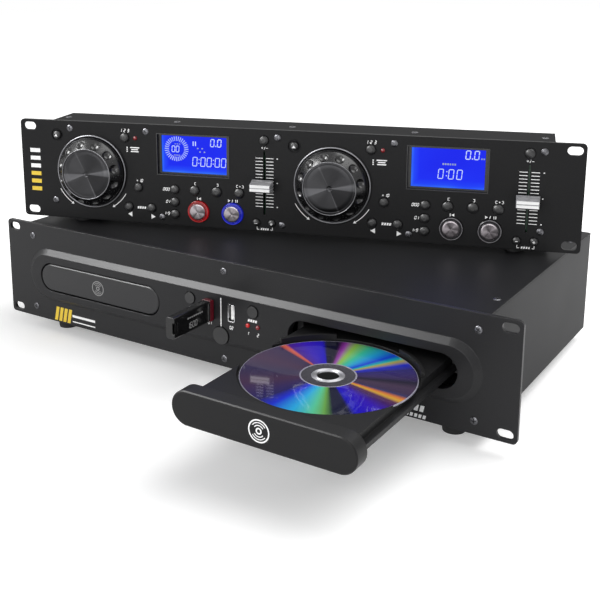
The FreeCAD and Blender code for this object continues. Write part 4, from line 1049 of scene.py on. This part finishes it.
disc_mirror, tree, place = start_finish("mirrored_polycarbonate")
middle = add(tree, "VectorMath", {0: place, 1: tuple(DISC_CENTRE)}, operation="SUBTRACT")
axes = add(tree, "SeparateXYZ", {0: middle})
turn = add(tree, "Math", {0: axes.outputs[1], 1: axes.outputs[0]}, operation="ARCTAN2")
share = add(tree, "Math", {0: turn, 1: 0.5 / math.pi, 2: 1.0},
            operation="MULTIPLY_ADD")
angle = add(tree, "Math", {0: share, 1: 1.0}, operation="MODULO")
near = add(tree, "ValToRGB", {"Fac": angle}, stops=DISC_TINT_AND_PAINTED_RAINBOWS)
rest = add(tree, "Math", {0: angle, 1: FAR_FROM}, operation="SUBTRACT")
far = add(tree, "ValToRGB", {"Fac": rest}, stops=DISC_TINT_AND_PAINTED_RAINBOWS_FAR)
later = add(tree, "Math", {0: angle, 1: FAR_FROM}, operation="GREATER_THAN")
tint_and_painted_rainbow = add(tree, "Mix", {0: later, MIX_A: near,
                          MIX_B: far}, data_type="RGBA")
end_finish(disc_mirror, {"Base Color": tint_and_painted_rainbow.outputs[MIX_OUT], "Roughness": 0.06,
                         "Coat Weight": 0.6, "Coat Roughness": 0.02,
                         "Specular IOR Level": 0.5})
print("the disc has", len(DISC_TINT_AND_PAINTED_RAINBOWS) + len(DISC_TINT_AND_PAINTED_RAINBOWS_FAR), "colour stops")

# %% [markdown]
# The disc is made of five turned rings: the mirror, which stops at the hub, a hub of clear
# plastic that shows the dark tray below as a grey haze, a silver ring round the hole, where
# the clamp bites, a raised ring that keeps stacked discs apart, and the clear outer edge.

# %% Disc
hub_plastic, tree, place = start_finish("clear_polycarbonate_hub")
tone = mottle(tree, place, 3, "#46454c", "#5c5b63")[1]
end_finish(hub_plastic, {"Base Color": tone, "Roughness": 0.12, "IOR": 1.58,
                         "Transmission Weight": 0.25})
ring_silver = metal("sputtered_aluminium", "#aaaaae", 0.4, 2.0)
# The clear edge and stack ring get a pale colour and faint glow: a painted highlight of
# their bright rims.
clear_edge_painted_glow = acrylic("clear_polycarbonate_edge_painted_glow", "#9a98a6", "#4a4856", 0.3)
base, top = disc_low.z / MM, disc_high.z / MM
DISC_RINGS = {                           # profiles of (radius, height in the frame)
    "mirror": (disc_mirror, [
        (58.8, base), (59.4, base)] + [(radius, top - 0.02) for radius in
                                       (59.4, 50, 40, 30, 20)]
        + [(19.8, top), (19.4, top), (19.4, base)]),
    "hub": (hub_plastic, [
        (11.4, base), (19.4, base), (19.4, top - 0.1), (18.3, top - 0.1),
        (18.1, top - 0.15), (11.6, top - 0.15), (11.4, top - 0.15)]),
    "clamp_ring": (ring_silver, [
        (7.55, base), (11.4, base), (11.4, top - 0.15), (11.1, top), (10.6, top),
        (10.3, top - 0.2), (10, top), (9.4, top), (9.1, top - 0.25), (8.8, top),
        (8.5, top), (8.3, top - 0.15), (8.1, top), (7.8, top), (7.55, top - 0.3)]),
    "edge": (clear_edge_painted_glow, [
        (59.4, base), (59.75, base), (60, base + 0.25), (60, top - 0.25), (59.75, top),
        (59.4, top)]),
    "stack_ring": (clear_edge_painted_glow, [
        (18.3, base + 0.2), (19.4, base + 0.2), (19.4, top - 0.05), (19.2, top),
        (18.5, top), (18.3, top - 0.05)])}
STAND = (Matrix.Translation((DISC_CENTRE.x, DISC_CENTRE.y, 0)) @ Matrix.Scale(MM, 4)
         @ UP)
for name, (material, profile) in DISC_RINGS.items():
    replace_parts(place_mesh("disc_" + name, turned(profile, (0, 0, 0), 160, 30), STAND,
                           "disc", material), "disc")
print("the disc is", round((disc_high.x - disc_low.x) / MM, 1), "mm across")

# %% [markdown]
# ## The memory stick and the ports
# The stick in the left port has a red band where it meets its plug, and a plain number
# on its side. The empty port shows a white tongue.

# %% Stick and port
STICK_SIDE, PORT_X, PORT_Z = -6.1, 10.1, 48.4
red_abs = moulded("dark_red_abs", "#5c0e1c", 0.25, 0.5, 0.003, 0.3)
band = bmesh.new()
bmesh.ops.create_cube(band, size=1, matrix=Matrix.Translation((-PORT_X, -7.6, PORT_Z))
                      @ Matrix.Diagonal((8.2, 5.2, 17.2, 1)))
bmesh.ops.bevel(band, geom=band.edges[:], offset=0.4, segments=2, affect="EDGES")
label = plates(digits("1600", -25, 43.2, 4.4, 0.6) + bars(8, 2.5, -24, 51.6, 1.7, 1.2))
label.transform(Matrix.Translation((STICK_SIDE, -14, 0))
                @ Matrix.Rotation(math.radians(90), 4, "Z"))
tongue = plates([bar(PORT_X, PORT_Z, 2.4, 10.8)], -0.4, 2.4)
for name, mesh, body, material, slot in (
        ("stick_band", smooth(to_mesh(band), 40), "usb_stick", red_abs, "stick_plastic"),
        ("stick_label", label, "usb_stick", grey_ink, "stick_plastic"),
        ("right_port_tongue", tongue, "transport", white_nylon, "socket_plastic")):
    place_mesh(name, mesh, TRANSPORT, body, material)
print("dressed the stick and the empty port")

# %% [markdown]
# ## Sockets at the back
# The sound outputs come in pairs, one red and one white, each with a nickel sleeve in a
# collar. The round sockets carry the lead between the two units: a dark face with a
# groove and nine pins.

# %% Rear sockets
SOUND_COLLAR = [(4.15, -242.05), (5.6, -242.05), (5.6, -243), (5.3, -243.3),
                (4.15, -243.3)]
SOUND_SLEEVE = [(4.12, -243.2), (4.4, -243.2), (4.4, -250.7), (4.12, -250.9)]
LINK_FACE = [(0, 0), (4.45, 0), (4.45, 2.9), (6.15, 2.9), (6.15, 0), (7.25, 0), (7.25, 1.5),
             (7.1, 3.2), (0, 3.2)]
for n, x in enumerate((-165, -135)):
    for level, z, finish in (("low", 30, red_nylon), ("high", 49, white_nylon)):
        for part, profile, material in (("collar", SOUND_COLLAR, finish),
                                        ("sleeve", SOUND_SLEEVE, nickel)):
            place_mesh(f"sound_{n}_{level}_{part}", turned(profile, (x, 0, z), 32, 35),
                       TRANSPORT, "transport", material)
for unit, body, apart, z, back in ((TRANSPORT, "transport", 22, 40, 243.5),
                                   (CONTROLLER, "controller", 60, 44, 59.5)):
    for side, x in (("left", -apart), ("right", apart)):
        pins = [dot(*on_circle(x, z, 2.7, 45 * n), 0.45) for n in range(8)]
        pins.append(dot(x, z, 0.45))
        for part, mesh, material in (
                ("", turned(LINK_FACE, (x, back + 0.05, z), 40, 35), nylon),
                ("_pins", plates(pins, back + 0.4, 0.4), nickel)):
            place_mesh(f"{body}_link_{side}{part}", mesh, unit, body, material)
print("dressed the rear sockets")

# %% [markdown]
# ## Floor
# The floor is pale and matte. The camera, mirrors and glass also see a little light from
# it, more of it far from the player, so that it renders white there while the shadow
# stays. This light reaches nothing else.

# %% Floor
GLOW_NEAR, GLOW_FAR = (0.18, 0.28), (0.5, 0.78)     # distance in m, strength


def seen_rays(tree):
    """One for rays from the camera, from mirrors and through glass, and else zero."""
    path = add(tree, "LightPath").outputs
    mirrored = add(tree, "Math", {0: path["Is Camera Ray"], 1: path["Is Glossy Ray"]},
                   operation="MAXIMUM")
    return add(tree, "Math", {0: mirrored, 1: path["Is Transmission Ray"]},
               operation="MAXIMUM")


floor_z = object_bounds()[0][2]
floor_mesh = bpy.data.meshes.new("floor")
floor_mesh.from_pydata([(-4, -3, floor_z), (4, -3, floor_z), (4, 6, floor_z),
                        (-4, 6, floor_z)], [], [(0, 1, 2, 3)])
floor = put("floor", floor_mesh)
paper, tree, place = start_finish("pale_paper")
tone = mottle(tree, place, 2, "#f1f1f1", "#f4f4f4")[1]
matte = add(tree, "BsdfDiffuse", {"Color": tone})
distance = add(tree, "VectorMath", {0: place, 1: (0, 0, floor_z)}, operation="DISTANCE")
fade = add(tree, "MapRange", {"Value": distance.outputs["Value"],
                              "From Min": GLOW_NEAR[0], "From Max": GLOW_FAR[0],
                              "To Min": GLOW_NEAR[1], "To Max": GLOW_FAR[1]})
glow = add(tree, "Math", {0: seen_rays(tree), 1: fade}, operation="MULTIPLY")
lift = add(tree, "Emission", {"Strength": glow})
both = add(tree, "AddShader", {0: matte, 1: lift})
add(tree, "OutputMaterial", {"Surface": both})
floor_mesh.materials.append(paper)
print("the floor lies at", round(floor_z, 5), "m")

# %% [markdown]
# ## Lights
# One broad lamp hangs above and behind, so the soft shadow falls to the front and left. A
# low one in front fills the panels. A smaller one at the left only shows in what mirrors
# it, and puts a bright line on the bevels.

# %% Lights
def lamp_panel(name, stands, aim, size, power, mirrored_only=False):
    """A square area lamp of some watts that faces a point."""
    light = bpy.data.lights.new(name, "AREA")
    light.size, light.energy = size, power
    holder = put(name, light)
    holder.location = stands
    aim_line = Vector(aim) - Vector(stands)
    holder.rotation_euler = aim_line.to_track_quat("-Z", "Y").to_euler()
    holder.visible_diffuse = not mirrored_only
    print(name, "gives", power, "W")


lamp_panel("overhead", (0.6, 0.42, 1.45), (0, 0.05, 0), 1.3, 18)
lamp_panel("front_fill", (0.25, -1.5, 0.55), (0, 0, 0.03), 1.1, 12.5)
lamp_panel("left_window", (-0.75, -0.62, 0.85), (0, 0, 0), 0.7, 36, mirrored_only=True)

# %% [markdown]
# ## Surroundings
# The surroundings are white for the camera, for mirrors and for glass, and dimmed where
# they light the object.

# %% Surroundings
ROOM_LIGHT = 0.38
world = bpy.data.worlds.new("studio")
world.use_nodes = True
tree = world.node_tree
tree.nodes.clear()
strength = add(tree, "MapRange", {"Value": seen_rays(tree), "To Min": ROOM_LIGHT,
                                  "To Max": 1.0})
sky = add(tree, "Background", {"Color": (1, 1, 1, 1), "Strength": strength})
add(tree, "OutputWorld", {"Surface": sky})
bpy.context.scene.world = world
print("surroundings light at", ROOM_LIGHT)
